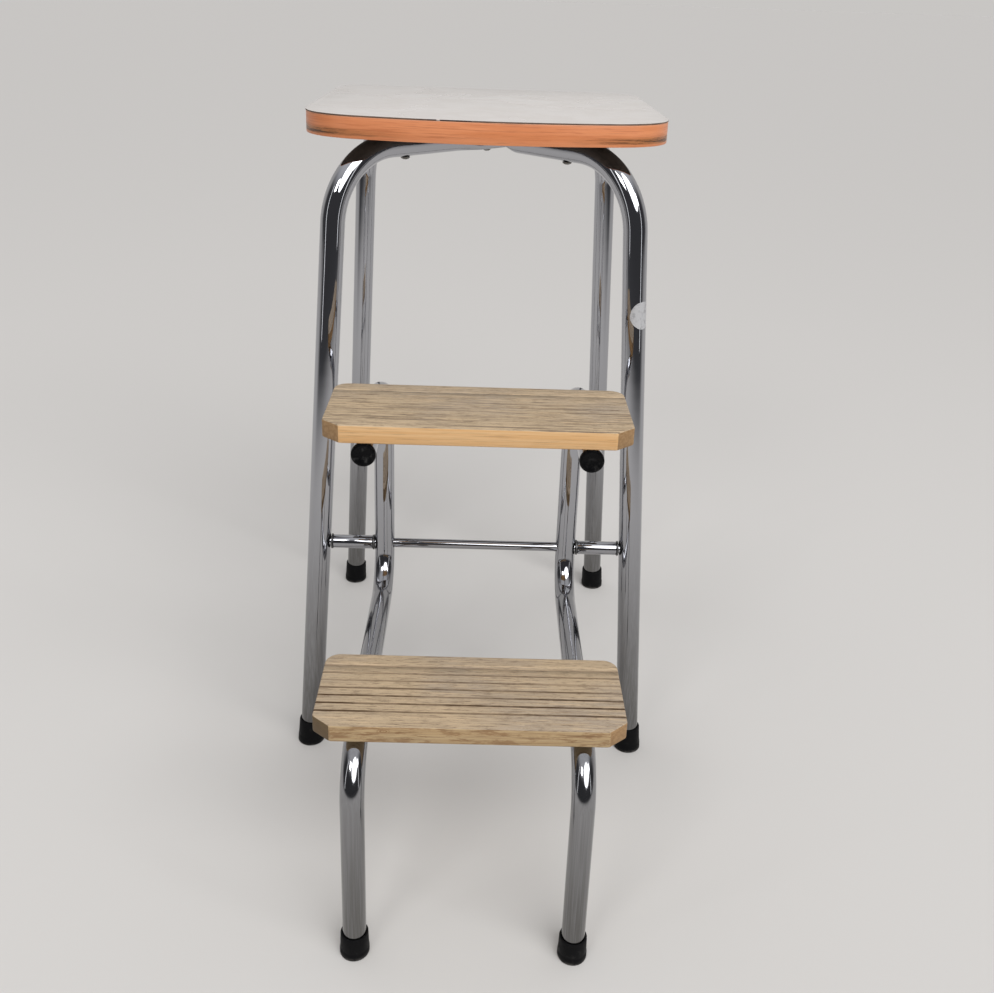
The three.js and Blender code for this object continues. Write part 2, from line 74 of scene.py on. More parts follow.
MM = 0.001
PIECE_GAP = 0.3 * MM
WELD = 1e-6
SHARP_ANGLE = math.radians(34)
CORNER_ANGLE = 1.0
SAWN_ANGLE = 0.6
LATHE_SIDES = 72
TUBE_SIDES = 64
BEND_STEPS = 28
RIM_SEGMENTS = 2
UP = Vector((0, 0, 1))
REARWARD = Vector((0, 1, 0))
LEVEL = Vector((1, 1, 0))


class Side(Enum):
    """The left or right half of the stool, as someone who faces the steps sees it."""

    LEFT = -1
    RIGHT = 1

    @property
    def label(self) -> str:
        """The side's word in a node's name."""
        return self.name.lower()

    @property
    def other(self) -> "Side":
        """The opposite side."""
        return Side(-self.value)


class End(Enum):
    """The front or the rear leg of a leg frame."""

    FRONT = 1
    REAR = -1

    @property
    def label(self) -> str:
        """The end's word in a node's name."""
        return self.name.lower()


class Level(Enum):
    """The upper or the lower of the two steps."""

    UPPER = "upper"
    LOWER = "lower"


class Body(Enum):
    """The two bodies that the fold joint joins."""

    STOOL = "stool"
    STEP_UNIT = "step_unit"


@dataclass(frozen=True)
class Fade:
    """A smooth change: a factor has its least at the start and its most where it is full."""

    start: float
    full: float
    least: float = 0.0
    most: float = 1.0


@dataclass(frozen=True)
class Grain:
    """A noise pattern: how many blots it has in a metre along each axis, and how they break up."""

    scale: Point
    octaves: float = 4.0
    roughness: float = 0.55
    move: Point = (0, 0, 0)
    swirl: float = 0.0


ROOM_FADE = Fade(0.40, -0.10)


class NodeWork:
    """The nodes of a material or of the surround, made a step at a time."""

    def __init__(self, tree: bpy.types.NodeTree) -> None:
        """Starts with an empty tree."""
        self.tree = tree
        self.tree.nodes.clear()

    def _plug(self, socket: bpy.types.NodeSocket, value: object) -> None:
        """Links a socket, or sets it where the value is a number or a colour.

        Args:
            socket: the input.
            value: an output socket, a number or a colour.
        """
        if isinstance(value, bpy.types.NodeSocket):
            self.tree.links.new(value, socket)
        elif isinstance(value, tuple) and socket.type == "RGBA":
            socket.default_value = (*value, 1.0)
        else:
            socket.default_value = value

    def feed(self, node: bpy.types.Node, **inputs: object) -> None:
        """Feeds a node's inputs, which are named with underscores for spaces."""
        for name, value in inputs.items():
            self._plug(node.inputs[name.replace("_", " ").title().replace("Ior", "IOR")], value)

    def add(self, kind: str, **inputs: object) -> bpy.types.Node:
        """Adds a node.

        Args:
            kind: its type, after the words that all types start with.
            inputs: its inputs by their names, with underscores for spaces.

        Returns:
            The node.
        """
        node = self.tree.nodes.new(f"ShaderNode{kind}")
        self.feed(node, **inputs)
        return node

    def here(self) -> bpy.types.NodeSocket:
        """Object coordinates."""
        return self.add("TexCoord").outputs["Object"]

    def axis(self, letter: str, vector: bpy.types.NodeSocket | None = None) -> bpy.types.NodeSocket:
        """One coordinate of a vector, or of Object coordinates where no vector is given."""
        return self.add("SeparateXYZ", vector=vector or self.here()).outputs[letter]

    def grain(self, pattern: Grain) -> bpy.types.NodeSocket:
        """Fractal noise.

        Args:
            pattern: how it is drawn.

        Returns:
            The factor output.
        """
        place = self.add("Mapping", vector=self.here(), scale=pattern.scale, location=pattern.move)
        noise = self.add("TexNoise", vector=place.outputs["Vector"], scale=1.0, detail=pattern.octaves,
                         roughness=pattern.roughness, distortion=pattern.swirl)
        return noise.outputs["Fac"]

    def pits(self, scale: float) -> bpy.types.NodeSocket:
        """The distance to the nearest of many points, scattered at a scale of so many in a metre."""
        return self.add("TexVoronoi", vector=self.here(), scale=scale).outputs["Distance"]

    def fade(self, factor: bpy.types.NodeSocket, change: Fade) -> bpy.types.NodeSocket:
        """Changes a factor smoothly, without going past the change's least or most.

        Args:
            factor: what it reads.
            change: where it starts and ends.

        Returns:
            The number output.
        """
        node = self.add("MapRange", value=factor, from_min=change.start, from_max=change.full,
                        to_min=change.least, to_max=change.most)
        node.interpolation_type = "SMOOTHSTEP"
        return node.outputs["Result"]

    def calc(self, operation: str, first: object, second: object = 0.0) -> bpy.types.NodeSocket:
        """One step of arithmetic.

        Args:
            operation: the Math node's operation.
            first: the first number or output.
            second: the second number or output.

        Returns:
            The number output.
        """
        node = self.add("Math")
        node.operation = operation
        for socket, value in zip(node.inputs, (first, second)):
            self._plug(socket, value)
        return node.outputs["Value"]

    def product(self, *factors: object) -> bpy.types.NodeSocket:
        """Multiplies numbers and outputs."""
        return reduce(lambda first, second: self.calc("MULTIPLY", first, second), factors)

    def total(self, *terms: object) -> bpy.types.NodeSocket:
        """Adds numbers and outputs."""
        return reduce(lambda first, second: self.calc("ADD", first, second), terms)

    def off(self, value: bpy.types.NodeSocket, place: float) -> bpy.types.NodeSocket:
        """How far a number is from a place, on either side of it."""
        return self.calc("ABSOLUTE", self.calc("SUBTRACT", value, place))

    def distance(self, across: bpy.types.NodeSocket, along: bpy.types.NodeSocket) -> bpy.types.NodeSocket:
        """How far a point is from the middle, from its two coordinates."""
        return self.calc("SQRT", self.total(self.product(across, across), self.product(along, along)))

    def mix(self, factor: object, under: object, over: object) -> bpy.types.NodeSocket:
        """Lays one colour over another.

        Args:
            factor: how much of the upper colour shows.
            under: the lower colour.
            over: the upper colour.

        Returns:
            The colour output.
        """
        node = self.add("Mix", factor=factor)
        node.data_type = "RGBA"
        colours = [socket for socket in node.inputs if socket.type == "RGBA"]
        for socket, value in zip(colours, (under, over)):
            self._plug(socket, value)
        return next(socket for socket in node.outputs if socket.type == "RGBA")

    def lay(self, under: object, factor: bpy.types.NodeSocket, change: Fade,
            over: object) -> bpy.types.NodeSocket:
        """Lays one colour over another where a factor is high, as the change says."""
        return self.mix(self.fade(factor, change), under, over)


class Shader(NodeWork):
    """A material's nodes round one Principled shader."""

    def __init__(self, name: str) -> None:
        """Starts a material.

        Args:
            name: the material's name.
        """
        self.material = bpy.data.materials.new(name)
        self.material.use_nodes = True
        super().__init__(self.material.node_tree)
        self.surface = self.add("BsdfPrincipled")
        self.add("OutputMaterial", surface=self.surface.outputs["BSDF"])

    def bump(self, height: bpy.types.NodeSocket, relief: float, strength: float = 1.0) -> None:
        """Roughens the surface by a height from 0 to 1, which the relief gives in metres."""
        node = self.add("Bump", height=height, distance=relief, strength=strength)
        self.feed(self.surface, normal=node.outputs["Normal"])

    def coat(self, **inputs: object) -> bpy.types.Material:
        """Feeds the Principled shader's inputs and gives the finished material."""
        self.feed(self.surface, **inputs)
        return self.material


@dataclass(frozen=True)
class ChromePlate:
    """Old chrome plate on bent tube: a clear mirror with haze, small pits and rubbed streaks, darker towards
    the floor with dust and a painted dark reflection.
    """

    name: str = "chrome_plate"
    silver: Colour = (0.42, 0.425, 0.45)
    # Colour of the pits and of the darkening near the floor, which is partly dust and partly a painted dark
    # floor reflection.
    tarnish: Colour = (0.125, 0.12, 0.11)
    blots: Grain = Grain((9, 9, 9), 6.0, 0.6)
    worn: Fade = Fade(0.52, 0.72)
    pits_in_metre: float = 420.0
    pitted: Fade = Fade(0.085, 0.0)
    pit_dark: float = 0.8
    pit_height: float = -0.5
    # Darker towards the floor: real dust and haze, and a painted dark floor reflection.
    low: Fade = Fade(340 * MM, 0.0)
    streaks: Grain = Grain((900, 900, 14), 3.0, 0.6)
    dusty: Fade = Fade(0.30, 0.62, 0.72, 1.0)
    dust_dark: float = 0.85
    gloss: Fade = Fade(0.35, 1.6, 0.03, 0.17)
    ripples: Grain = Grain((26, 26, 26), 2.0)
    relief: float = 0.10 * MM

    def build(self) -> bpy.types.Material:
        """Makes the material.

        Returns:
            The material.
        """
        shader = Shader(self.name)
        blots = shader.grain(self.blots)
        pits = shader.fade(shader.pits(self.pits_in_metre), self.pitted)
        marks = shader.product(pits, shader.fade(blots, self.worn))
        # Dust streaks near the floor, laid on strongly enough to paint in a dark floor reflection as well.
        dust = shader.product(shader.fade(shader.axis("Z"), self.low),
                              shader.fade(shader.grain(self.streaks), self.dusty))
        cover = shader.total(shader.product(marks, self.pit_dark), shader.product(dust, self.dust_dark))
        height = shader.total(shader.grain(self.ripples), shader.product(marks, self.pit_height))
        shader.bump(height, self.relief)
        return shader.coat(
            metallic=1.0,
            base_color=shader.mix(cover, self.silver, self.tarnish),
            roughness=shader.fade(shader.total(blots, dust), self.gloss),
        )


@dataclass(frozen=True)
class PaleLaminate:
    """The seat's pale gloss laminate sheet, with a soft mottle and rubbed, duller blots."""

    name: str = "pale_laminate"
    pale: Colour = (0.60, 0.572, 0.55)
    warm: Colour = (0.565, 0.533, 0.505)
    rubbed: Colour = (0.625, 0.605, 0.585)
    mottle: Grain = Grain((34, 34, 34), 6.0, 0.6)
    warmed: Fade = Fade(0.35, 0.68)
    blots: Grain = Grain((7, 7, 7), 4.0, 0.5, swirl=0.4)
    rubbed_off: Fade = Fade(0.55, 0.75)
    gloss: Fade = Fade(0.35, 0.75, 0.20, 0.34)
    shine: float = 0.55
    skin: Grain = Grain((900, 900, 900), 2.0)
    scratches: Grain = Grain((260, 22, 1), 2.0)
    scratched: Fade = Fade(0.62, 0.7)
    relief: float = 0.02 * MM
    relief_felt: float = 0.5

    def build(self) -> bpy.types.Material:
        """Makes the material.

        Returns:
            The material.
        """
        shader = Shader(self.name)
        blots = shader.grain(self.blots)
        colour = shader.lay(self.pale, shader.grain(self.mottle), self.warmed, self.warm)
        scratches = shader.fade(shader.grain(self.scratches), self.scratched)
        shader.bump(shader.total(shader.grain(self.skin), scratches), self.relief, self.relief_felt)
        return shader.coat(
            base_color=shader.lay(colour, blots, self.rubbed_off, self.rubbed),
            roughness=shader.fade(blots, self.gloss),
            specular_ior_level=self.shine,
        )


@dataclass(frozen=True)
class SheetEdge:
    """The brown cut edge of the laminate sheet, chipped pale at one place and stained dark beside it."""

    name: str = "sheet_edge"
    dark: Colour = (0.100, 0.062, 0.043)
    brown: Colour = (0.185, 0.125, 0.088)
    stain: Colour = (0.045, 0.022, 0.016)
    chip: Colour = (0.62, 0.52, 0.47)
    grain: Grain = Grain((60, 60, 8))
    browned: Fade = Fade(0.35, 0.7)
    stain_x: float = -32 * MM
    stained: Fade = Fade(20 * MM, 17 * MM)
    chip_x: float = -41.6 * MM
    chipped: Fade = Fade(2.8 * MM, 1.8 * MM)
    splinters: Grain = Grain((800, 800, 800))
    splinter_reach: float = 2 * MM
    front: Fade = Fade(20 * MM, 0.0)
    roughness: float = 0.55
    relief: float = 0.05 * MM

    def build(self) -> bpy.types.Material:
        """Makes the material.

        Returns:
            The material.
        """
        shader = Shader(self.name)
        grain = shader.grain(self.grain)
        colour = shader.lay(self.dark, grain, self.browned, self.brown)
        colour = shader.lay(colour, shader.off(shader.axis("X"), self.stain_x), self.stained, self.stain)
        splinters = shader.product(shader.grain(self.splinters), self.splinter_reach)
        ragged = shader.total(shader.off(shader.axis("X"), self.chip_x), splinters)
        front = shader.fade(shader.axis("Y"), self.front)
        chipped = shader.product(shader.fade(ragged, self.chipped), front)
        shader.bump(grain, self.relief)
        return shader.coat(base_color=shader.mix(chipped, colour, self.chip), roughness=self.roughness)


@dataclass(frozen=True)
class OrangeBand:
    """The wood-look edge band: warm orange-brown with long pale streaks and scuffed black ones, with a painted
    highlight along its upper rim, and painted shade low towards its ends and over its left part.

    Its heights are measured from its own lower edge.
    """

    bottom: float
    name: str = "orange_band"
    base: Colour = (0.70, 0.245, 0.098)
    light: Colour = (0.78, 0.30, 0.135)
    deep: Colour = (0.55, 0.175, 0.068)
    # Brown tint laid low towards both ends: partly soil, partly painted shade.
    soil: Colour = (0.33, 0.135, 0.040)
    # Also the colour of the painted highlight along the upper rim.
    rubbed: Colour = (0.86, 0.50, 0.34)
    scuff: Colour = (0.040, 0.019, 0.009)
    long_grain: Grain = Grain((9, 9, 210), 5.0)
    lightened: Fade = Fade(0.38, 0.64)
    fine_grain: Grain = Grain((28, 28, 900), 4.0, 0.6)
    deepened: Fade = Fade(0.5, 0.66, most=0.75)
    # Painted shade: the band darkens towards its left end.
    left_deepened: Fade = Fade(-20 * MM, -150 * MM, most=0.32)
    near_corner: Fade = Fade(60 * MM, 155 * MM)
    low: Fade = Fade(9.5 * MM, 5.5 * MM)
    clear_of_bottom: Fade = Fade(1.6 * MM, 3.2 * MM)
    soiled: float = 0.75
    # Painted highlight: a pale line along the band's upper rim.
    rim: Fade = Fade(17.5 * MM, 18.8 * MM, most=0.6)
    scuffs: Grain = Grain((26, 26, 700), 7.0, 0.8, move=(3, 5, 1))
    scuffed: Fade = Fade(0.49, 0.53)
    rare_scuffs: Grain = Grain((14, 14, 520), 5.0, 0.6, move=(7, 2, 4))
    rarely: Fade = Fade(0.64, 0.70, most=0.35)
    scuff_dark: float = 0.88
    gloss: Fade = Fade(0.3, 0.7, 0.30, 0.42)
    relief: float = 0.06 * MM
    relief_felt: float = 0.6

    def build(self) -> bpy.types.Material:
        """Makes the material.

        Returns:
            The material.
        """
        shader = Shader(self.name)
        across = shader.axis("X")
        height = shader.total(shader.axis("Z"), -self.bottom)
        fine = shader.grain(self.fine_grain)
        colour = shader.lay(self.base, shader.grain(self.long_grain), self.lightened, self.light)
        colour = shader.lay(colour, fine, self.deepened, self.deep)
        # Painted shade towards the left end.
        colour = shader.lay(colour, across, self.left_deepened, self.deep)
        # Low towards both ends: soil and scuffs, with painted shade in the same place.
        soil_and_shade_at_ends = shader.product(shader.fade(shader.calc("ABSOLUTE", across), self.near_corner),
                               shader.fade(height, self.low), shader.fade(height, self.clear_of_bottom))
        colour = shader.mix(shader.product(soil_and_shade_at_ends, self.soiled), colour, self.soil)
        # Painted highlight along the upper rim.
        colour = shader.lay(colour, height, self.rim, self.rubbed)
        scuffs = shader.product(soil_and_shade_at_ends, shader.fade(shader.grain(self.scuffs), self.scuffed))
        rare = shader.fade(shader.grain(self.rare_scuffs), self.rarely)
        scuffs = shader.product(shader.calc("MAXIMUM", scuffs, rare), self.scuff_dark)
        shader.bump(fine, self.relief, self.relief_felt)
        return shader.coat(
            base_color=shader.mix(scuffs, colour, self.scuff),
            roughness=shader.fade(fine, self.gloss),
        )


@dataclass(frozen=True)
class TreadWood:
    """The worn top of a step board: grey-tan grain along the step, dirt dark in the grooves."""

    name: str
    middle: float
    depth: float
    first_groove: float
    groove_pitch: float
    groove_width: float
    grooves: int
    groove_dark: float
    streak_dark: float
    tan: Colour = (0.47, 0.360, 0.236)
    grey: Colour = (0.39, 0.314, 0.234)
    honey: Colour = (0.58, 0.435, 0.278)
    fibre: Colour = (0.15, 0.105, 0.066)
    soot: Colour = (0.120, 0.086, 0.058)
    dirt: Colour = (0.062, 0.030, 0.011)
    patches: Grain = Grain((9, 9, 9), 3.0, 0.5)
    greyed: Fade = Fade(0.40, 0.64)
    long_grain: Grain = Grain((16, 330, 300), 6.0, 0.78)
    honeyed: Fade = Fade(0.47, 0.59, most=0.65)
    fibres: Grain = Grain((48, 640, 900), 6.0, 0.88)
    fibrous: Fade = Fade(0.51, 0.59, most=0.8)
    streaks: Grain = Grain((10, 270, 100), 6.0, 0.76, move=(4, 9, 2))
    streaked: Fade = Fade(0.51, 0.57)
    rear_streaks: float = 0.35
    wander: Grain = Grain((60, 60, 1), 4.0, 0.8)
    wander_reach: float = 0.6 * MM
    dirt_core: float = 0.9
    dirt_rim: float = 2.4
    dirt_end: float = 1 * MM
    dirt_patches: Grain = Grain((13, 100, 1), 5.0, 0.7, move=(2, 6, 0))
    patchy: Fade = Fade(0.38, 0.58, 0.45, 1.0)
    rear_dirt: float = 0.5
    gloss: Fade = Fade(0.3, 0.7, 0.6, 0.75)
    shine: float = 0.28
    relief: float = 0.14 * MM
    relief_felt: float = 0.7

    def build(self) -> bpy.types.Material:
        """Makes the material.

        Returns:
            The material.
        """
        shader = Shader(self.name)
        long_grain = shader.grain(self.long_grain)
        fibres = shader.grain(self.fibres)
        colour = shader.lay(self.tan, shader.grain(self.patches), self.greyed, self.grey)
        colour = shader.lay(colour, long_grain, self.honeyed, self.honey)
        colour = shader.lay(colour, fibres, self.fibrous, self.fibre)
        forward = Fade(self.middle + self.depth / 2, self.middle - self.depth / 3, self.rear_streaks, 1.0)
        streaks = shader.product(shader.fade(shader.grain(self.streaks), self.streaked),
                                 shader.fade(shader.axis("Y"), forward), self.streak_dark)
        colour = shader.mix(streaks, colour, self.soot)
        shader.bump(shader.total(fibres, long_grain), self.relief, self.relief_felt)
        return shader.coat(
            base_color=shader.mix(self._dirt_in_grooves(shader), colour, self.dirt),
            roughness=shader.fade(long_grain, self.gloss),
            specular_ior_level=self.shine,
        )

    def _dirt_in_grooves(self, shader: Shader) -> bpy.types.NodeSocket:
        """Dirt that lies along each groove, thickest in the front ones.

        Args:
            shader: the material in the making.

        Returns:
            The dirt's factor.
        """
        along = shader.axis("Y")
        before_first = self.first_groove - self.groove_pitch / 2
        wander = shader.product(shader.grain(self.wander), self.wander_reach)
        start = before_first + self.wander_reach / 2
        wandering = shader.calc("SUBTRACT", shader.total(along, wander), start)
        share = shader.calc("FRACT", shader.calc("DIVIDE", wandering, self.groove_pitch))
        half = self.groove_width / self.groove_pitch / 2
        line = shader.fade(shader.off(share, 1 / 2), Fade(self.dirt_rim * half, self.dirt_core * half))
        reach = self.groove_pitch * self.grooves / 2
        within = shader.fade(shader.off(along, before_first + reach), Fade(reach, reach - self.dirt_end))
        patchy = shader.fade(shader.grain(self.dirt_patches), self.patchy)
        forward = Fade(self.middle + self.depth / 8, self.middle - self.depth / 8, self.rear_dirt, 1.0)
        return shader.product(line, within, patchy, shader.fade(along, forward), self.groove_dark)


@dataclass(frozen=True)
class BoardEdgeWood:
    """A step board's sawn edge: warm honey wood, paler than the tread, with dark pores."""

    name: str = "board_edge_wood"
    honey: Colour = (0.67, 0.385, 0.165)
    pale: Colour = (0.73, 0.465, 0.235)
    brown: Colour = (0.25, 0.14, 0.065)
    pore: Colour = (0.16, 0.085, 0.04)
    # Colour of painted shade, laid on one end of a board.
    grime: Colour = (0.055, 0.042, 0.022)
    rings: Grain = Grain((10, 240, 520), 5.0, 0.6)
    paled: Fade = Fade(0.36, 0.64)
    soil: Grain = Grain((9, 150, 160), 6.0, 0.72)
    soiled: Fade = Fade(0.52, 0.68, most=0.2)
    underside: float = 0.0
    over_underside: Fade = Fade(0.1 * MM, 0.8 * MM, 0.2, 1.0)
    pores: Grain = Grain((30, 720, 1560), 4.0, 0.65)
    pored: Fade = Fade(0.52, 0.68, most=0.4)
    # Where painted shade darkens the wood along X; None where there is none.
    grimy: Fade | None = None
    knot: Vector | None = None
    knot_reach: float = 9 * MM
    knot_flatness: float = 2.4
    knot_wobble: Grain = Grain((300, 300, 300), 3.0)
    knot_wobble_reach: float = 2 * MM
    knot_rings: int = 4
    knot_ring: Fade = Fade(0.4, 0.1, 0.2, 1.0)
    knot_eye: float = 0.3
    gloss: Fade = Fade(0.3, 0.7, 0.5, 0.62)
    shine: float = 0.3
    relief: float = 0.10 * MM
    relief_felt: float = 0.6

    def build(self) -> bpy.types.Material:
        """Makes the material.

        Returns:
            The material.
        """
        shader = Shader(self.name)
        rings = shader.grain(self.rings)
        pores = shader.grain(self.pores)
        height = shader.total(shader.axis("Z"), -self.underside)
        colour = shader.lay(self.honey, rings, self.paled, self.pale)
        soil = shader.product(shader.fade(shader.grain(self.soil), self.soiled),
                              shader.fade(height, self.over_underside))
        colour = shader.mix(soil, colour, self.brown)
        colour = shader.lay(colour, pores, self.pored, self.pore)
        # Painted shade along X.
        if self.grimy:
            colour = shader.lay(colour, shader.axis("X"), self.grimy, self.grime)
        if self.knot:
            colour = self._knot(shader, colour)
        shader.bump(shader.total(pores, rings), self.relief, self.relief_felt)
        return shader.coat(base_color=colour, roughness=shader.fade(rings, self.gloss),
                           specular_ior_level=self.shine)

    def _knot(self, shader: Shader, colour: bpy.types.NodeSocket) -> bpy.types.NodeSocket:
        """Draws the rings and the dark eye of a small flat knot.

        Args:
            shader: the material in the making.
            colour: the wood round it.

        Returns:
            The colour output.
        """
        along = shader.calc("SUBTRACT", shader.axis("X"), self.knot.x)
        across = shader.product(shader.calc("SUBTRACT", shader.axis("Z"), self.knot.z), self.knot_flatness)
        wobble = shader.product(shader.grain(self.knot_wobble), self.knot_wobble_reach)
        reach = shader.total(shader.distance(along, across), wobble)
        turns = shader.calc("FRACT", shader.calc("DIVIDE", reach, self.knot_reach / self.knot_rings))
        ring = shader.fade(shader.off(turns, 1 / 2), self.knot_ring)
        inside = shader.fade(reach, Fade(self.knot_reach, self.knot_eye * self.knot_reach))
        return shader.mix(shader.product(ring, inside), colour, self.brown)


@dataclass(frozen=True)
class PressedBoard:
    """Raw wood board: the seat's core and the brown sheet under it."""

    name: str
    light: Colour
    dark: Colour
    chips: Grain = Grain((240, 240, 240), 3.0, 0.6)
    chipped: Fade = Fade(0.4, 0.65)
    stains: Grain = Grain((12, 12, 12))
    stained: Fade = Fade(0.5, 0.75, most=0.4)
    roughness: float = 0.75
    relief: float = 0.08 * MM

    def build(self) -> bpy.types.Material:
        """Makes the material.

        Returns:
            The material.
        """
        shader = Shader(self.name)
        chips = shader.grain(self.chips)
        colour = shader.lay(self.light, chips, self.chipped, self.dark)
        colour = shader.lay(colour, shader.grain(self.stains), self.stained, self.dark)
        shader.bump(chips, self.relief)
        return shader.coat(base_color=colour, roughness=self.roughness)


@dataclass(frozen=True)
class BlackRubber:
    """Black rubber or hard plastic, scuffed grey and dusty towards the floor."""

    name: str
    black: Colour = (0.0035, 0.0035, 0.004)
    scuffed: Colour = (0.018, 0.0175, 0.017)
    dust: Colour = (0.10, 0.095, 0.088)
    scuffs: Grain = Grain((190, 190, 190), 5.0, 0.7)
    greyed: Fade = Fade(0.52, 0.72)
    blots: Grain = Grain((60, 60, 60), 3.0)
    blotted: Fade = Fade(0.4, 0.65)
    near_floor: Fade = Fade(4 * MM, 0.0)
    dusty: Fade = Fade(0.4, 0.6)
    gloss: Fade = Fade(0.35, 0.7, 0.42, 0.62)
    shine: float = 0.09
    relief: float = 0.10 * MM
    relief_felt: float = 0.7

    def build(self) -> bpy.types.Material:
        """Makes the material.

        Returns:
            The material.
        """
        shader = Shader(self.name)
        scuffs = shader.grain(self.scuffs)
        cover = shader.product(shader.fade(scuffs, self.greyed),
                               shader.fade(shader.grain(self.blots), self.blotted))
        colour = shader.mix(cover, self.black, self.scuffed)
        low = shader.fade(shader.axis("Z"), self.near_floor)
        dust = shader.product(low, shader.fade(scuffs, self.dusty))
        shader.bump(scuffs, self.relief, self.relief_felt)
        return shader.coat(
            base_color=shader.mix(dust, colour, self.dust),
            roughness=shader.fade(scuffs, self.gloss),
            specular_ior_level=self.shine,
        )


@dataclass(frozen=True)
class DarkSteel:
    """Zinc-grey screws and dark washers, spotted with rust."""

    name: str = "dark_steel"
    grey: Colour = (0.24, 0.235, 0.225)
    rust: Colour = (0.075, 0.045, 0.03)
    spots: Grain = Grain((420, 420, 420), 5.0, 0.7)
    rusted: Fade = Fade(0.5, 0.7)
    gloss: Fade = Fade(0.3, 0.7, 0.28, 0.6)
    relief: float = 0.04 * MM

    def build(self) -> bpy.types.Material:
        """Makes the material.

        Returns:
            The material.
        """
        shader = Shader(self.name)
        spots = shader.grain(self.spots)
        shader.bump(spots, self.relief)
        return shader.coat(
            metallic=1.0,
            base_color=shader.lay(self.grey, spots, self.rusted, self.rust),
            roughness=shader.fade(spots, self.gloss),
        )


@dataclass(frozen=True)
class WornPaper:
    """A blank scrap of silvery white paper, rubbed through in places."""

    name: str = "worn_paper"
    white: Colour = (0.52, 0.52, 0.53)
    rubbed: Colour = (0.33, 0.33, 0.34)
    rub: Grain = Grain((260, 260, 260), 5.0, 0.7)
    rubbed_through: Fade = Fade(0.5, 0.68)
    gloss: Fade = Fade(0.3, 0.7, 0.45, 0.65)
    silvery: float = 0.15
    relief: float = 0.05 * MM

    def build(self) -> bpy.types.Material:
        """Makes the material.

        Returns:
            The material.
        """
        shader = Shader(self.name)
        rub = shader.grain(self.rub)
        shader.bump(rub, self.relief)
        return shader.coat(
            base_color=shader.lay(self.white, rub, self.rubbed_through, self.rubbed),
            roughness=shader.fade(rub, self.gloss),
            metallic=self.silvery,
        )


@dataclass(frozen=True)
class PaleFloor:
    """The studio floor: plain, pale and matte, and dimmer in front of the stool and at its far rim.

    In front is where the stool's steps point. Its far rim there takes the surround's own dimness.
    """

    name: str = "pale_floor"
    pale: Colour = (0.60, 0.585, 0.565)
    dim: Colour = (0.065, 0.065, 0.068)
    beyond_pool: Fade = Fade(0.72, 2.2)
    in_front: Fade = Fade(0.12, -0.45)
    far_rim: Fade = Fade(2.2, 7.0)
    roughness: float = 0.8

    def build(self) -> bpy.types.Material:
        """Makes the material.

        Returns:
            The material.
        """
        shader = Shader(self.name)
        along = shader.axis("Y")
        reach = shader.distance(shader.axis("X"), along)
        way = shader.calc("DIVIDE", along, reach)
        near = shader.product(shader.fade(reach, self.beyond_pool), shader.fade(way, self.in_front))
        far = shader.product(shader.fade(reach, self.far_rim), shader.fade(way, ROOM_FADE))
        dimmed = shader.calc("MAXIMUM", near, far)
        return shader.coat(base_color=shader.mix(dimmed, self.pale, self.dim), roughness=self.roughness,
                           specular_ior_level=0.0)


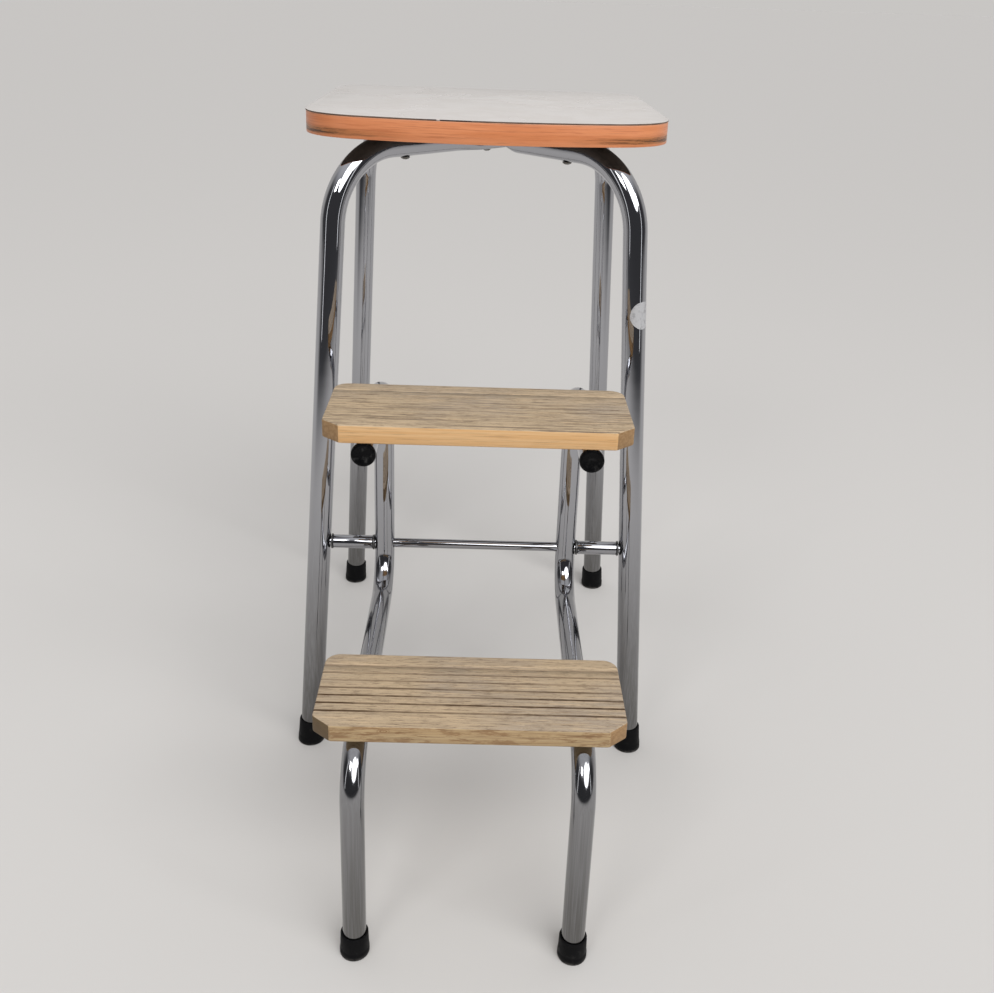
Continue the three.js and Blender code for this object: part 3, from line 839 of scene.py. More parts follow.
class Workpiece:
    """A mesh in the making."""

    def __init__(self) -> None:
        """Starts an empty mesh."""
        self.bm = bmesh.new()

    def turn_on_lathe(self, profile: Sequence[tuple[float, float]], sides: int = LATHE_SIDES) -> None:
        """Spins a profile of radius and height pairs about Z into a closed body.

        Args:
            profile: the pairs, which start and end on the axis or join up in a ring.
            sides: the steps in a full turn.
        """
        verts = [self.bm.verts.new((radius, 0, height)) for radius, height in profile]
        edges = [self.bm.edges.new(pair) for pair in zip(verts, verts[1:])]
        if profile[0][0] > WELD:
            edges.append(self.bm.edges.new((verts[-1], verts[0])))
        bmesh.ops.spin(self.bm, geom=verts + edges, cent=(0, 0, 0), axis=UP, angle=math.tau, steps=sides,
                       use_merge=True)
        self.weld()

    def weld(self) -> None:
        """Merges doubled points and turns every face outwards."""
        bmesh.ops.remove_doubles(self.bm, verts=self.bm.verts, dist=WELD)
        bmesh.ops.recalc_face_normals(self.bm, faces=self.bm.faces)

    def place(self, matrix: Matrix) -> None:
        """Moves the whole mesh, without a mirror."""
        bmesh.ops.transform(self.bm, matrix=matrix, verts=self.bm.verts)

    def round_edges(self, radius: float, chosen: Callable[[bmesh.types.BMEdge], bool],
                    segments: int = 3) -> None:
        """Rounds the chosen edges.

        Args:
            radius: the width that each side gives up.
            chosen: says whether an edge is rounded.
            segments: the faces across the round.
        """
        edges = [edge for edge in self.bm.edges if chosen(edge)]
        bmesh.ops.bevel(self.bm, geom=edges, offset=radius, offset_type="OFFSET", affect="EDGES",
                        segments=segments, profile=0.5, material=-1, clamp_overlap=True)

    def plate(self, outline: Sequence[Vector], bottom: float, top: float) -> None:
        """Raises an outline into a flat plate.

        Args:
            outline: the outline's points, with their own x and y.
            bottom: the height of its underside.
            top: the height of its upper face.
        """
        verts = [self.bm.verts.new((point.x, point.y, bottom)) for point in outline]
        base = self.bm.faces.new(verts)
        self._raise([base], top - bottom)

    def hoop(self, outer: Sequence[Vector], inner: Sequence[Vector], bottom: float, top: float) -> None:
        """Raises the strip between two outlines into a band.

        Args:
            outer: the outer outline's points.
            inner: the inner outline's points.
            bottom: the band's lowest height.
            top: the band's highest height.
        """
        edges = []
        for outline in (outer, inner):
            verts = [self.bm.verts.new((point.x, point.y, bottom)) for point in outline]
            edges += [self.bm.edges.new((verts[i - 1], verts[i])) for i in range(len(verts))]
        strip = bmesh.ops.bridge_loops(self.bm, edges=edges)["faces"]
        self._raise(strip, top - bottom)

    def _raise(self, faces: Sequence[bmesh.types.BMFace], height: float) -> None:
        """Extrudes faces upwards into a closed body.

        Args:
            faces: the faces at the bottom.
            height: how far they go up.
        """
        raised = bmesh.ops.extrude_face_region(self.bm, geom=list(faces), use_keep_orig=True)["geom"]
        verts = [item for item in raised if isinstance(item, bmesh.types.BMVert)]
        bmesh.ops.translate(self.bm, verts=verts, vec=(0, 0, height))
        bmesh.ops.recalc_face_normals(self.bm, faces=self.bm.faces)

    def slice(self, place: Point, way: Vector, clear_outer: bool = False) -> None:
        """Cuts the faces along a plane, and clears what lies beyond it where that is asked."""
        bmesh.ops.bisect_plane(self.bm, geom=[*self.bm.verts, *self.bm.edges, *self.bm.faces], dist=WELD,
                               plane_co=place, plane_no=way, clear_outer=clear_outer)

    def level_at_floor(self) -> None:
        """Cuts the mesh level at z = 0 and closes it there."""
        self.slice((0, 0, 0), -UP, clear_outer=True)
        rim = [edge for edge in self.bm.edges if edge.is_boundary]
        bmesh.ops.contextual_create(self.bm, geom=rim)
        bmesh.ops.recalc_face_normals(self.bm, faces=self.bm.faces)

    def shade(self) -> None:
        """Shades the mesh smooth, apart from its sharp edges."""
        for face in self.bm.faces:
            face.smooth = True
        for edge in self.bm.edges:
            edge.smooth = edge.is_manifold and edge.calc_face_angle(0.0) < SHARP_ANGLE

    def to_object(self, name: str) -> bpy.types.Object:
        """Ends the work and gives the mesh an object at the origin.

        Args:
            name: the object's name.

        Returns:
            The object.
        """
        self.shade()
        mesh = bpy.data.meshes.new(name)
        self.bm.to_mesh(mesh)
        self.bm.free()
        piece = bpy.data.objects.new(name, mesh)
        bpy.context.scene.collection.objects.link(piece)
        return piece


class BentTube(Workpiece):
    """A tube with a wall, drawn from a ring along straight runs and round bends."""

    def __init__(self, outer: float, wall: float, start: Vector, heading: Vector) -> None:
        """Sets the first ring down.

        Args:
            outer: the tube's outer diameter.
            wall: its wall.
            start: the middle of its open end.
            heading: the way that it sets off.
        """
        super().__init__()
        self.at = start.copy()
        self.heading = heading.normalized()
        turn = UP.rotation_difference(self.heading).to_matrix().to_4x4()
        bmesh.ops.create_circle(self.bm, cap_ends=True, segments=TUBE_SIDES, radius=outer / 2,
                                matrix=Matrix.Translation(start) @ turn)
        disc = list(self.bm.faces)
        bmesh.ops.inset_region(self.bm, faces=disc, thickness=wall, use_boundary=True, use_even_offset=True)
        bmesh.ops.delete(self.bm, geom=disc, context="FACES_ONLY")
        self.last = list(self.bm.faces)

    def run_to(self, point: Vector) -> None:
        """Draws the tube straight on to a point.

        Args:
            point: the middle of the new ring.
        """
        covered = [] if len(self.bm.faces) == TUBE_SIDES else self.last
        grown = bmesh.ops.extrude_face_region(self.bm, geom=self.last)["geom"]
        verts = [item for item in grown if isinstance(item, bmesh.types.BMVert)]
        bmesh.ops.translate(self.bm, verts=verts, vec=point - self.at)
        bmesh.ops.delete(self.bm, geom=covered, context="FACES")
        self.last = [item for item in grown if isinstance(item, bmesh.types.BMFace)]
        self.at = point.copy()

    def bend_to(self, heading: Vector, radius: float) -> None:
        """Bends the tube round to a new heading.

        Args:
            heading: the new heading.
            radius: the radius of the bend's middle line.
        """
        heading = heading.normalized()
        axis = self.heading.cross(heading).normalized()
        centre = self.at + axis.cross(self.heading) * radius
        angle = self.heading.angle(heading)
        verts = {vert for face in self.last for vert in face.verts}
        edges = {edge for face in self.last for edge in face.edges}
        swept = bmesh.ops.spin(self.bm, geom=list(verts) + list(edges) + self.last, cent=centre, axis=axis,
                               angle=angle, steps=BEND_STEPS)
        self.last = [item for item in swept["geom_last"] if isinstance(item, bmesh.types.BMFace)]
        self.at = centre + Matrix.Rotation(angle, 3, axis) @ (self.at - centre)
        self.heading = heading

    def round_corner(self, corner: Vector, beyond: Vector, radius: float) -> None:
        """Draws the tube up to a corner and bends it round there.

        Args:
            corner: where the straight runs would meet.
            beyond: a point on the run after the corner.
            radius: the bend's radius.
        """
        away = (beyond - corner).normalized()
        reach = radius * math.tan(self.heading.angle(away) / 2)
        self.run_to(corner - self.heading * reach)
        self.bend_to(away, radius)


def drill(piece: bpy.types.Object, start: Vector, end: Vector, diameter: float) -> None:
    """Cuts a round hole through a piece.

    Args:
        piece: what is drilled.
        start: the middle of one end of the drill.
        end: the middle of its other end.
        diameter: the hole's diameter.
    """
    cutter = Workpiece()
    turn = UP.rotation_difference(end - start).to_matrix().to_4x4()
    bmesh.ops.create_cone(cutter.bm, cap_ends=True, segments=LATHE_SIDES, radius1=diameter / 2,
                          radius2=diameter / 2, depth=(end - start).length,
                          matrix=Matrix.Translation((start + end) / 2) @ turn)
    cut_away(piece, cutter)


def cut_away(piece: bpy.types.Object, cutter: Workpiece) -> None:
    """Cuts one shape out of a piece.

    Args:
        piece: what is cut.
        cutter: the shape that goes.
    """
    tool = cutter.to_object("cutter")
    modifier = piece.modifiers.new("cut", "BOOLEAN")
    modifier.operation = "DIFFERENCE"
    modifier.solver = "MANIFOLD"
    modifier.object = tool
    bpy.context.view_layer.update()
    evaluated = piece.evaluated_get(bpy.context.evaluated_depsgraph_get())
    mesh = bpy.data.meshes.new_from_object(evaluated)
    mesh.materials.clear()
    piece.modifiers.remove(modifier)
    old = piece.data
    piece.data = mesh
    bpy.data.meshes.remove(old)
    bpy.data.objects.remove(tool)
    shaded = Workpiece()
    shaded.bm.from_mesh(mesh)
    shaded.shade()
    shaded.bm.to_mesh(mesh)
    shaded.bm.free()


def is_corner(edge: bmesh.types.BMEdge) -> bool:
    """Whether the faces at an edge meet in a clear corner."""
    return edge.calc_face_angle(0.0) > CORNER_ANGLE


def is_level(edge: bmesh.types.BMEdge) -> bool:
    """Whether an edge's two ends are at one height."""
    return abs(edge.verts[0].co.z - edge.verts[1].co.z) < WELD


def dress(piece: bpy.types.Object, body: Body, materials: Sequence[bpy.types.Material],
          nodes: Sequence[str] = ()) -> None:
    """Gives a piece its finish and its place in the frame, and reports it.

    Args:
        piece: the piece, at the origin.
        body: the body that it rides on.
        materials: its materials, by the index that its faces name.
        nodes: the CAD nodes that it stands for.
    """
    for material in materials:
        piece.data.materials.append(material)
    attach(piece, body.value)
    if nodes:
        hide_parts(*nodes)
    LOG.info("%s: %d faces on %s", piece.name, len(piece.data.polygons), body.value)


def middle(node: str) -> Vector:
    """The middle of a CAD node's box."""
    low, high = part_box(node)
    return (low + high) / 2


def swept_curve(start: Vector, control: Vector, end: Vector, steps: int) -> list[Vector]:
    """Points on a curve from start to just before end, drawn towards a control point."""
    shares = [step / steps for step in range(steps)]
    return [start * (1 - t) ** 2 + control * (2 * t * (1 - t)) + end * t ** 2 for t in shares]


class Finishes:
    """Every material of the stool, each made once."""

    def __init__(self) -> None:
        """Makes the materials that several pieces share."""
        self.chrome = ChromePlate().build()
        self.laminate = PaleLaminate().build()
        self.sheet_edge = SheetEdge().build()
        self.band = OrangeBand(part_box("seat_edge_band")[0].z).build()
        self.board_edges = {
            Level.UPPER: BoardEdgeWood(underside=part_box("upper_step_board")[0].z).build(),
            Level.LOWER: BoardEdgeWood(
                "worn_edge_wood",
                honey=(0.43, 0.295, 0.155),
                pale=(0.49, 0.36, 0.205),
                soil=Grain((42, 260, 210), 6.0, 0.72),
                soiled=Fade(0.49, 0.58, most=0.74),
                pored=Fade(0.52, 0.61, most=0.6),
                underside=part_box("lower_step_board")[0].z,
                knot=self._knot_place(),
            ).build(),
        }
        # Painted shade on the lower board's left end grain.
        left_end_shade = Fade(-95 * MM, -108 * MM, most=0.72)
        self.end_grains = {
            Level.UPPER: self._end_grain(Level.UPPER),
            Level.LOWER: self._end_grain(Level.LOWER, left_end_shade),
        }
        self.core = PressedBoard("core_board", light=(0.44, 0.33, 0.20),
                                 dark=(0.28, 0.19, 0.11)).build()
        self.backing = PressedBoard("backing_sheet", light=(0.095, 0.066, 0.046),
                                    dark=(0.062, 0.043, 0.030), chips=Grain((60, 60, 60), 3.0, 0.6)).build()
        self.rubber = BlackRubber("foot_rubber").build()
        self.plug = BlackRubber("plug_plastic", scuffed=(0.05, 0.049, 0.048),
                                gloss=Fade(0.35, 0.7, 0.18, 0.5)).build()
        self.washer = DarkSteel("washer_steel", grey=(0.13, 0.13, 0.13), rust=(0.05, 0.04, 0.035)).build()
        self.steel = DarkSteel().build()
        self.paper = WornPaper().build()

    def _end_grain(self, level: Level, grimy: Fade | None = None) -> bpy.types.Material:
        """The wood that shows at a board's two ends.

        Args:
            level: which step it is.
            grimy: how its left end is darkened with painted shade, or None where it has none.

        Returns:
            The material.
        """
        return BoardEdgeWood(
            f"{level.value}_end_grain_wood",
            honey=(0.29, 0.17, 0.076),
            pale=(0.38, 0.235, 0.115),
            rings=Grain((420, 60, 420), 5.0, 0.6),
            pores=Grain((1260, 180, 1260), 4.0, 0.65),
            soiled=Fade(0.52, 0.68, most=0.5),
            grimy=grimy,
        ).build()

    def _knot_place(self, share: float = 0.23, drop: float = 4 * MM) -> Vector:
        """A knot's place: a share of the lower board from its left, and a drop below its tread."""
        low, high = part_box("lower_step_board")
        return Vector((low.x + share * (high.x - low.x), low.y, high.z - drop))


@dataclass
class Seat:
    """The seat: a laminate sheet, its core and backing, and the band round its edge."""

    finishes: Finishes
    bow: float = 26 * MM
    front_corner: float = 54 * MM
    rear_corner: float = 36 * MM
    corner_run_share: float = 0.92
    band: float = 1.4 * MM
    band_setback: float = 0.4 * MM
    edge_round: float = 0.28 * MM
    bow_steps: int = 48
    corner_steps: int = 20
    flat: float = 0.9

    def outline(self, inset: float) -> list[Vector]:
        """The seat's outline: a bowed front, soft corners and a straight rear.

        Args:
            inset: how far it is drawn in.

        Returns:
            The points, anticlockwise from the front left.
        """
        low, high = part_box("seat_top_laminate")
        half = (high.x - low.x) / 2 - inset
        front = low.y + inset
        rear = high.y - inset
        round_rear = self.rear_corner - inset
        turn_x = half - self.front_corner
        turn_y = front + self.bow * (turn_x / half) ** 2
        slope = 2 * self.bow * turn_x / half ** 2
        corner_y = turn_y + slope * self.front_corner
        side_y = corner_y + self.corner_run_share * self.front_corner
        front_run = swept_curve(Vector((-turn_x, turn_y, 0)), Vector((0, 2 * front - turn_y, 0)),
                                Vector((turn_x, turn_y, 0)), self.bow_steps)
        right = swept_curve(Vector((turn_x, turn_y, 0)), Vector((half, corner_y, 0)),
                            Vector((half, side_y, 0)), self.corner_steps)
        right += swept_curve(Vector((half, rear - round_rear, 0)), Vector((half, rear, 0)),
                             Vector((half - round_rear, rear, 0)), self.corner_steps)
        right.insert(self.corner_steps, Vector((half, side_y, 0)))
        right.append(Vector((half - round_rear, rear, 0)))
        left = [Vector((-point.x, point.y, 0)) for point in reversed(right)]
        return front_run + right + left[:-1]

    def build(self) -> None:
        """Makes the sheet and the band, and dresses the core and the backing."""
        self._sheet()
        self._band()
        for node, material in (("seat_core_board", self.finishes.core),
                               ("seat_backing_sheet", self.finishes.backing)):
            carried = bpy.data.objects[node]
            carried.data.materials.clear()
            carried.data.materials.append(material)
            LOG.info("%s: carried over", node)

    def _sheet(self) -> None:
        """Makes the laminate sheet, pale on top and dark at its cut edge."""
        low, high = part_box("seat_top_laminate")
        sheet = Workpiece()
        sheet.plate(self.outline(0.0), low.z, high.z)
        brim = high.z - WELD
        sheet.round_edges(self.edge_round, lambda edge: all(vert.co.z > brim for vert in edge.verts),
                          RIM_SEGMENTS)
        for face in sheet.bm.faces:
            face.material_index = 0 if abs(face.normal.z) > self.flat else 1
        piece = sheet.to_object("seat_laminate_sheet")
        dress(piece, Body.STOOL, [self.finishes.laminate, self.finishes.sheet_edge],
              ["seat_top_laminate"])

    def _band(self) -> None:
        """Makes the band, its long edges a little rounded."""
        low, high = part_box("seat_edge_band")
        band = Workpiece()
        band.hoop(self.outline(self.band_setback), self.outline(self.band), low.z, high.z)
        band.round_edges(self.edge_round, lambda edge: is_level(edge) and is_corner(edge), RIM_SEGMENTS)
        piece = band.to_object("seat_band_orange")
        dress(piece, Body.STOOL, [self.finishes.band], ["seat_edge_band"])


@dataclass(frozen=True)
class RubberCup:
    """The rubber cup that a tube's end stands in, with a rounded lip and a step round its foot."""

    tube: float
    outer: float
    height: float
    floor: float = 6 * MM
    taper: float = 0.75 * MM
    lip: float = 1 * MM
    lip_round: float = 0.3 * MM
    step: float = 0.35 * MM
    skirt: float = 0.25
    shoulder: float = 0.29
    neck: float = 0.33
    floor_round: float = 1.1 * MM

    def build(self, lean: float = 0.0) -> Workpiece:
        """Turns the cup, leans it with its tube, cuts it level and rounds the edge that it stands on.

        Args:
            lean: the tube's turn about Y.

        Returns:
            The cup, with the middle of its foot at the origin.
        """
        wide = self.outer / 2
        top = wide - self.taper
        bore = self.tube / 2 + PIECE_GAP
        cup = Workpiece()
        cup.turn_on_lathe([
            (0, -wide / 2),
            (wide, -wide / 2),
            (wide, self.skirt * self.height),
            (wide - self.step, self.shoulder * self.height),
            (wide - self.taper / 2, self.neck * self.height),
            (top, self.height - self.lip),
            (top - self.lip_round, self.height - self.lip_round),
            (top - self.lip, self.height),
            (bore, self.height),
            (bore, self.floor),
            (0, self.floor),
        ])
        cup.place(Matrix.Rotation(lean, 4, "Y"))
        cup.level_at_floor()
        cup.round_edges(self.floor_round, lambda edge: all(abs(vert.co.z) < WELD for vert in edge.verts)
                        and is_corner(edge))
        return cup


@dataclass
class LegFrames:
    """The two bent leg frames that cross under the seat, with their rubber feet."""

    finishes: Finishes
    tube: float = 22 * MM
    wall: float = 1.5 * MM
    bend: float = 68 * MM
    spread_angle: float = math.radians(45)
    front_reach: float = 233 * MM
    rear_reach: float = 222 * MM
    crown_reach: float = 191 * MM
    pressed_height: float = 10.4 * MM
    pressed_flat: float = 17 * MM
    pressed_blend: float = 28 * MM
    press_stops: int = 14
    cup: RubberCup = RubberCup(tube=22 * MM, outer=27 * MM, height=25 * MM)
    hole: float = 9.5 * MM
    hole_band: float = 9 * MM
    crossing: Vector = field(default_factory=lambda: middle("seat_screw_centre") * LEVEL)

    def __post_init__(self) -> None:
        """Works out the heights and leans."""
        self.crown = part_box("seat_backing_sheet")[0].z - PIECE_GAP - self.tube / 2
        self.rod = middle("pivot_rod")
        bend_start = self.crown - self.bend
        self.leans = {
            End.FRONT: (self.front_reach - self.crown_reach) / bend_start,
            End.REAR: (self.rear_reach - self.crown_reach) / bend_start,
        }
        self.reaches = {End.FRONT: self.front_reach, End.REAR: self.rear_reach}

    def to_frame(self, side: Side) -> Matrix:
        """The move from a leg frame's own plane, with its front leg along +X, to its place."""
        turn = math.atan2(-math.cos(self.spread_angle), side.value * math.sin(self.spread_angle))
        return Matrix.Translation(self.crossing) @ Matrix.Rotation(turn, 4, "Z")

    def on_leg(self, end: End, height: float) -> Vector:
        """A point on a leg's middle line at a height, in the leg frame's own plane."""
        return Vector((end.value * (self.reaches[end] - self.leans[end] * height), 0, height))

    def build(self) -> None:
        """Makes both frames and the four feet."""
        for side in Side:
            self._frame(side)
            self._foot(side, End.FRONT, side)
            self._foot(side, End.REAR, side.other)

    def _frame(self, side: Side) -> None:
        """Bends one frame, presses its crown where the two cross and drills it for the rod.

        Args:
            side: the side of its front leg.
        """
        lowest = self.cup.floor + PIECE_GAP + self.tube / 2 * self.leans[End.FRONT]
        start = self.on_leg(End.FRONT, lowest)
        front_corner = self.on_leg(End.FRONT, self.crown)
        rear_corner = self.on_leg(End.REAR, self.crown)
        tube = BentTube(self.tube, self.wall, start, front_corner - start)
        for height in (self.rod.z - self.hole_band, self.rod.z + self.hole_band):
            tube.run_to(self.on_leg(End.FRONT, height))
        tube.round_corner(front_corner, rear_corner, self.bend)
        reach = self.pressed_flat + self.pressed_blend
        pace = self.pressed_blend / self.press_stops
        stops = [reach - pace * step for step in range(self.press_stops + 1)]
        for x in stops + [-stop for stop in reversed(stops)]:
            tube.run_to(Vector((x, 0, self.crown)))
        rear_foot = self.on_leg(End.REAR, lowest)
        tube.round_corner(rear_corner, rear_foot, self.bend)
        tube.run_to(rear_foot)
        tube.weld()
        self._press(tube, side)
        tube.place(self.to_frame(side))
        piece = tube.to_object(f"bent_leg_frame_{side.label}")
        at_rod = self.to_frame(side) @ self.on_leg(End.FRONT, self.rod.z)
        inward = Vector((-side.value * self.tube, 0, 0))
        drill(piece, at_rod, at_rod + inward, self.hole)
        dress(piece, Body.STOOL, [self.finishes.chrome], [f"leg_frame_{side.label}"])

    def _press(self, tube: BentTube, side: Side) -> None:
        """Presses the crown flat round the crossing, up on one frame and down on the other.

        Args:
            tube: the frame, still in its own plane.
            side: the frame's side.
        """
        loss = self.tube - self.pressed_height
        for vert in tube.bm.verts:
            rise = vert.co.z - self.crown
            share = self._press_share(abs(vert.co.x)) if rise > -self.tube else 0.0
            radius = math.hypot(vert.co.y, rise)
            if share > 0 and radius > WELD:
                squeeze = 1 + share * ((radius - loss / 2) / radius - 1)
                widen = share * math.pi / 4 * loss * max(-1.0, min(1.0, 4 * vert.co.y / self.tube))
                vert.co.y = vert.co.y * squeeze + widen
                vert.co.z = self.crown + rise * squeeze + share * side.value * loss / 2

    def _press_share(self, distance: float) -> float:
        """How much of the press is felt at a distance from the crossing.

        Args:
            distance: the distance along the crown.

        Returns:
            A share from 0 to 1.
        """
        along = (distance - self.pressed_flat) / self.pressed_blend
        along = max(0.0, min(1.0, along))
        return 1 - along * along * (3 - 2 * along)

    def _foot(self, frame_side: Side, end: End, side: Side) -> None:
        """Makes the rubber foot on one leg.

        Args:
            frame_side: the side of the front leg of the frame that it is on.
            end: the front or the rear leg.
            side: the side that the foot stands on.
        """
        foot = self.cup.build(-end.value * math.atan(self.leans[end]))
        foot.place(self.to_frame(frame_side) @ Matrix.Translation((end.value * self.reaches[end], 0, 0)))
        name = f"{end.label}_{side.label}"
        dress(foot.to_object(f"rubber_foot_{name}"), Body.STOOL, [self.finishes.rubber],
              [f"leg_foot_{name}"])


@dataclass
class StepUnit:
    """The hinged unit: two boards on two bent tubes, with end plugs and rubber feet."""

    finishes: Finishes
    tube: float = 19 * MM
    wall: float = 1.5 * MM
    bend: float = 38 * MM
    hole: float = 9.5 * MM
    hole_band: float = 9 * MM
    cup: RubberCup = RubberCup(tube=19 * MM, outer=24 * MM, height=21 * MM)
    chamfer_x: float = 14.5 * MM
    chamfer_y: float = 12 * MM
    rear_round: float = 12 * MM
    rear_steps: int = 12
    edge_round: float = 1.2 * MM
    corner_round: float = 1.6 * MM
    grooves: int = 7
    groove_width: float = 1.3 * MM
    groove_depth: float = 0.9 * MM
    groove_front: float = 18.2 * MM
    groove_rear: float = 16.5 * MM
    plug_flange: float = 3.5 * MM
    plug_dish: float = 0.45 * MM
    plug_rim: float = 1.5 * MM
    plug_roll: tuple[tuple[float, float], ...] = ((1.6, 0), (0.9, 0), (0.3, 0.25), (0, 0.9))
    plug_dish_inset: float = 2.2
    plug_chamfer: float = 1 * MM
    tread_slope: float = 0.55
    end_slope: float = 0.45
    groove_floor: float = 0.55
    upper_groove_dark: float = 0.10
    lower_groove_dark: float = 0.98
    upper_streak_dark: float = 0.62
    lower_streak_dark: float = 0.22

    def build(self) -> None:
        """Makes the boards, tubes, plugs and feet."""
        for level in Level:
            self._board(level)
        for side in Side:
            self._tube(side)
            self._plug(side)
            self._foot(side)

    def _outline(self, low: Vector, high: Vector) -> list[Vector]:
        """A board's outline: sawn corners in front and round ones at the rear.

        Args:
            low: the lowest corner of the board's box.
            high: its highest corner.

        Returns:
            The points, anticlockwise from the front left.
        """
        right = [
            Vector((high.x - self.chamfer_x, low.y, 0)),
            Vector((high.x, low.y + self.chamfer_y, 0)),
        ]
        centre = Vector((high.x - self.rear_round, high.y - self.rear_round, 0))
        for step in range(self.rear_steps + 1):
            angle = math.pi / 2 * step / self.rear_steps
            right.append(centre + self.rear_round * Vector((math.cos(angle), math.sin(angle), 0)))
        left = [Vector((-point.x, point.y, 0)) for point in reversed(right)]
        return right + left

    def _board(self, level: Level) -> None:
        """Makes one step board, with its grooves cut across the tread.

        Args:
            level: which step it is.
        """
        node = f"{level.value}_step_board"
        low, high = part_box(node)
        board = Workpiece()
        board.plate(self._outline(low, high), low.z, high.z)
        board.round_edges(self.corner_round, lambda edge: not is_level(edge)
                          and edge.calc_face_angle(0.0) > SAWN_ANGLE)
        board.round_edges(self.edge_round, lambda edge: is_level(edge) and is_corner(edge))
        for face in board.bm.faces:
            face.material_index = self._face_kind(face.normal)
        pitch = (high.y - low.y - self.groove_front - self.groove_rear) / (self.grooves - 1)
        for groove in range(self.grooves):
            self._groove(board, low.y + self.groove_front + groove * pitch, high.z)
        finish = self._tread(level, low, high, pitch)
        piece = board.to_object(f"wooden_{node}")
        dress(piece, Body.STEP_UNIT,
              [finish, self.finishes.board_edges[level], self.finishes.end_grains[level]], [node])

    def _face_kind(self, normal: Vector) -> int:
        """Which of a board's woods a face shows.

        Args:
            normal: the way that the face looks.

        Returns:
            0 for the tread, 1 for long edges and the underside, 2 for end grain.
        """
        if normal.z > self.tread_slope:
            return 0
        return 2 if abs(normal.x) > self.end_slope else 1

    def _tread(self, level: Level, low: Vector, high: Vector, pitch: float) -> bpy.types.Material:
        """The tread's worn wood: the upper one finely streaked, the lower one dark in its grooves.

        Args:
            level: which step it is.
            low: the lowest corner of the board's box.
            high: its highest corner.
            pitch: the way from one groove to the next.

        Returns:
            The material.
        """
        upper = level is Level.UPPER
        return TreadWood(
            f"{level.value}_tread_wood",
            middle=(low.y + high.y) / 2,
            depth=high.y - low.y,
            first_groove=low.y + self.groove_front,
            groove_pitch=pitch,
            groove_width=self.groove_width,
            grooves=self.grooves,
            groove_dark=self.upper_groove_dark if upper else self.lower_groove_dark,
            streak_dark=self.upper_streak_dark if upper else self.lower_streak_dark,
        ).build()

    def _groove(self, board: Workpiece, y: float, top: float) -> None:
        """Cuts one groove along the whole tread.

        Args:
            board: the board.
            y: the middle of the groove.
            top: the height of the tread.
        """
        half = self.groove_width / 2
        floor = self.groove_floor * half
        for off in (-half, -floor, floor, half):
            board.slice((0, y + off, 0), REARWARD)
        for vert in board.bm.verts:
            if abs(vert.co.y - y) < floor + WELD and vert.co.z > top - self.groove_depth:
                vert.co.z = top - self.groove_depth

    def _tube(self, side: Side) -> None:
        """Bends one step tube and drills it for the rod.

        Args:
            side: the tube's side.
        """
        plug = middle(f"tube_plug_{side.label}")
        foot = middle(f"step_foot_{side.label}")
        rod = middle("pivot_rod")
        plug_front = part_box(f"tube_plug_{side.label}")[0].y
        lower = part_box("lower_step_board")[0].z - PIECE_GAP - self.tube / 2
        start = Vector((plug.x, plug_front + self.plug_flange + PIECE_GAP, plug.z))
        corners = [
            Vector((plug.x, rod.y, plug.z)),
            Vector((plug.x, rod.y, lower)),
            Vector((plug.x, foot.y, lower)),
        ]
        end = Vector((plug.x, foot.y, self.cup.floor + PIECE_GAP))
        tube = BentTube(self.tube, self.wall, start, corners[0] - start)
        tube.round_corner(corners[0], corners[1], self.bend)
        for height in (rod.z + self.hole_band, rod.z - self.hole_band):
            if height > lower + self.bend:
                tube.run_to(Vector((plug.x, rod.y, height)))
        tube.round_corner(corners[1], corners[2], self.bend)
        tube.round_corner(corners[2], end, self.bend)
        tube.run_to(end)
        tube.weld()
        piece = tube.to_object(f"bent_step_tube_{side.label}")
        across = Vector((self.tube, 0, 0))
        on_rod = Vector((plug.x, rod.y, rod.z))
        drill(piece, on_rod - across, on_rod + across, self.hole)
        dress(piece, Body.STEP_UNIT, [self.finishes.chrome], [f"step_tube_{side.label}"])

    def _plug(self, side: Side) -> None:
        """Makes the plug in a tube's front end: a dished face with a rounded rim, and its stem.

        Args:
            side: the tube's side.
        """
        node = f"tube_plug_{side.label}"
        low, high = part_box(node)
        flange = (high.x - low.x) / 2
        stem = self.tube / 2 - self.wall - PIECE_GAP
        depth = high.y - low.y
        plug = Workpiece()
        roll = [(flange - inward * self.plug_rim, back * self.plug_rim) for inward, back in self.plug_roll]
        plug.turn_on_lathe([
            (0, self.plug_dish),
            (flange - self.plug_dish_inset * self.plug_rim, self.plug_dish),
            *roll,
            (flange, self.plug_flange),
            (stem, self.plug_flange),
            (stem, depth - self.plug_chamfer),
            (stem - self.plug_chamfer, depth),
            (0, depth),
        ])
        turn = Matrix.Rotation(-math.pi / 2, 4, "X")
        plug.place(Matrix.Translation(((low.x + high.x) / 2, low.y, (low.z + high.z) / 2)) @ turn)
        dress(plug.to_object(f"black_{node}"), Body.STEP_UNIT, [self.finishes.plug], [node])

    def _foot(self, side: Side) -> None:
        """Makes the rubber foot under one step tube.

        Args:
            side: the tube's side.
        """
        node = f"step_foot_{side.label}"
        foot = self.cup.build()
        foot.place(Matrix.Translation(middle(node) * LEVEL))
        dress(foot.to_object(f"rubber_{node}"), Body.STEP_UNIT, [self.finishes.rubber],
              [node])


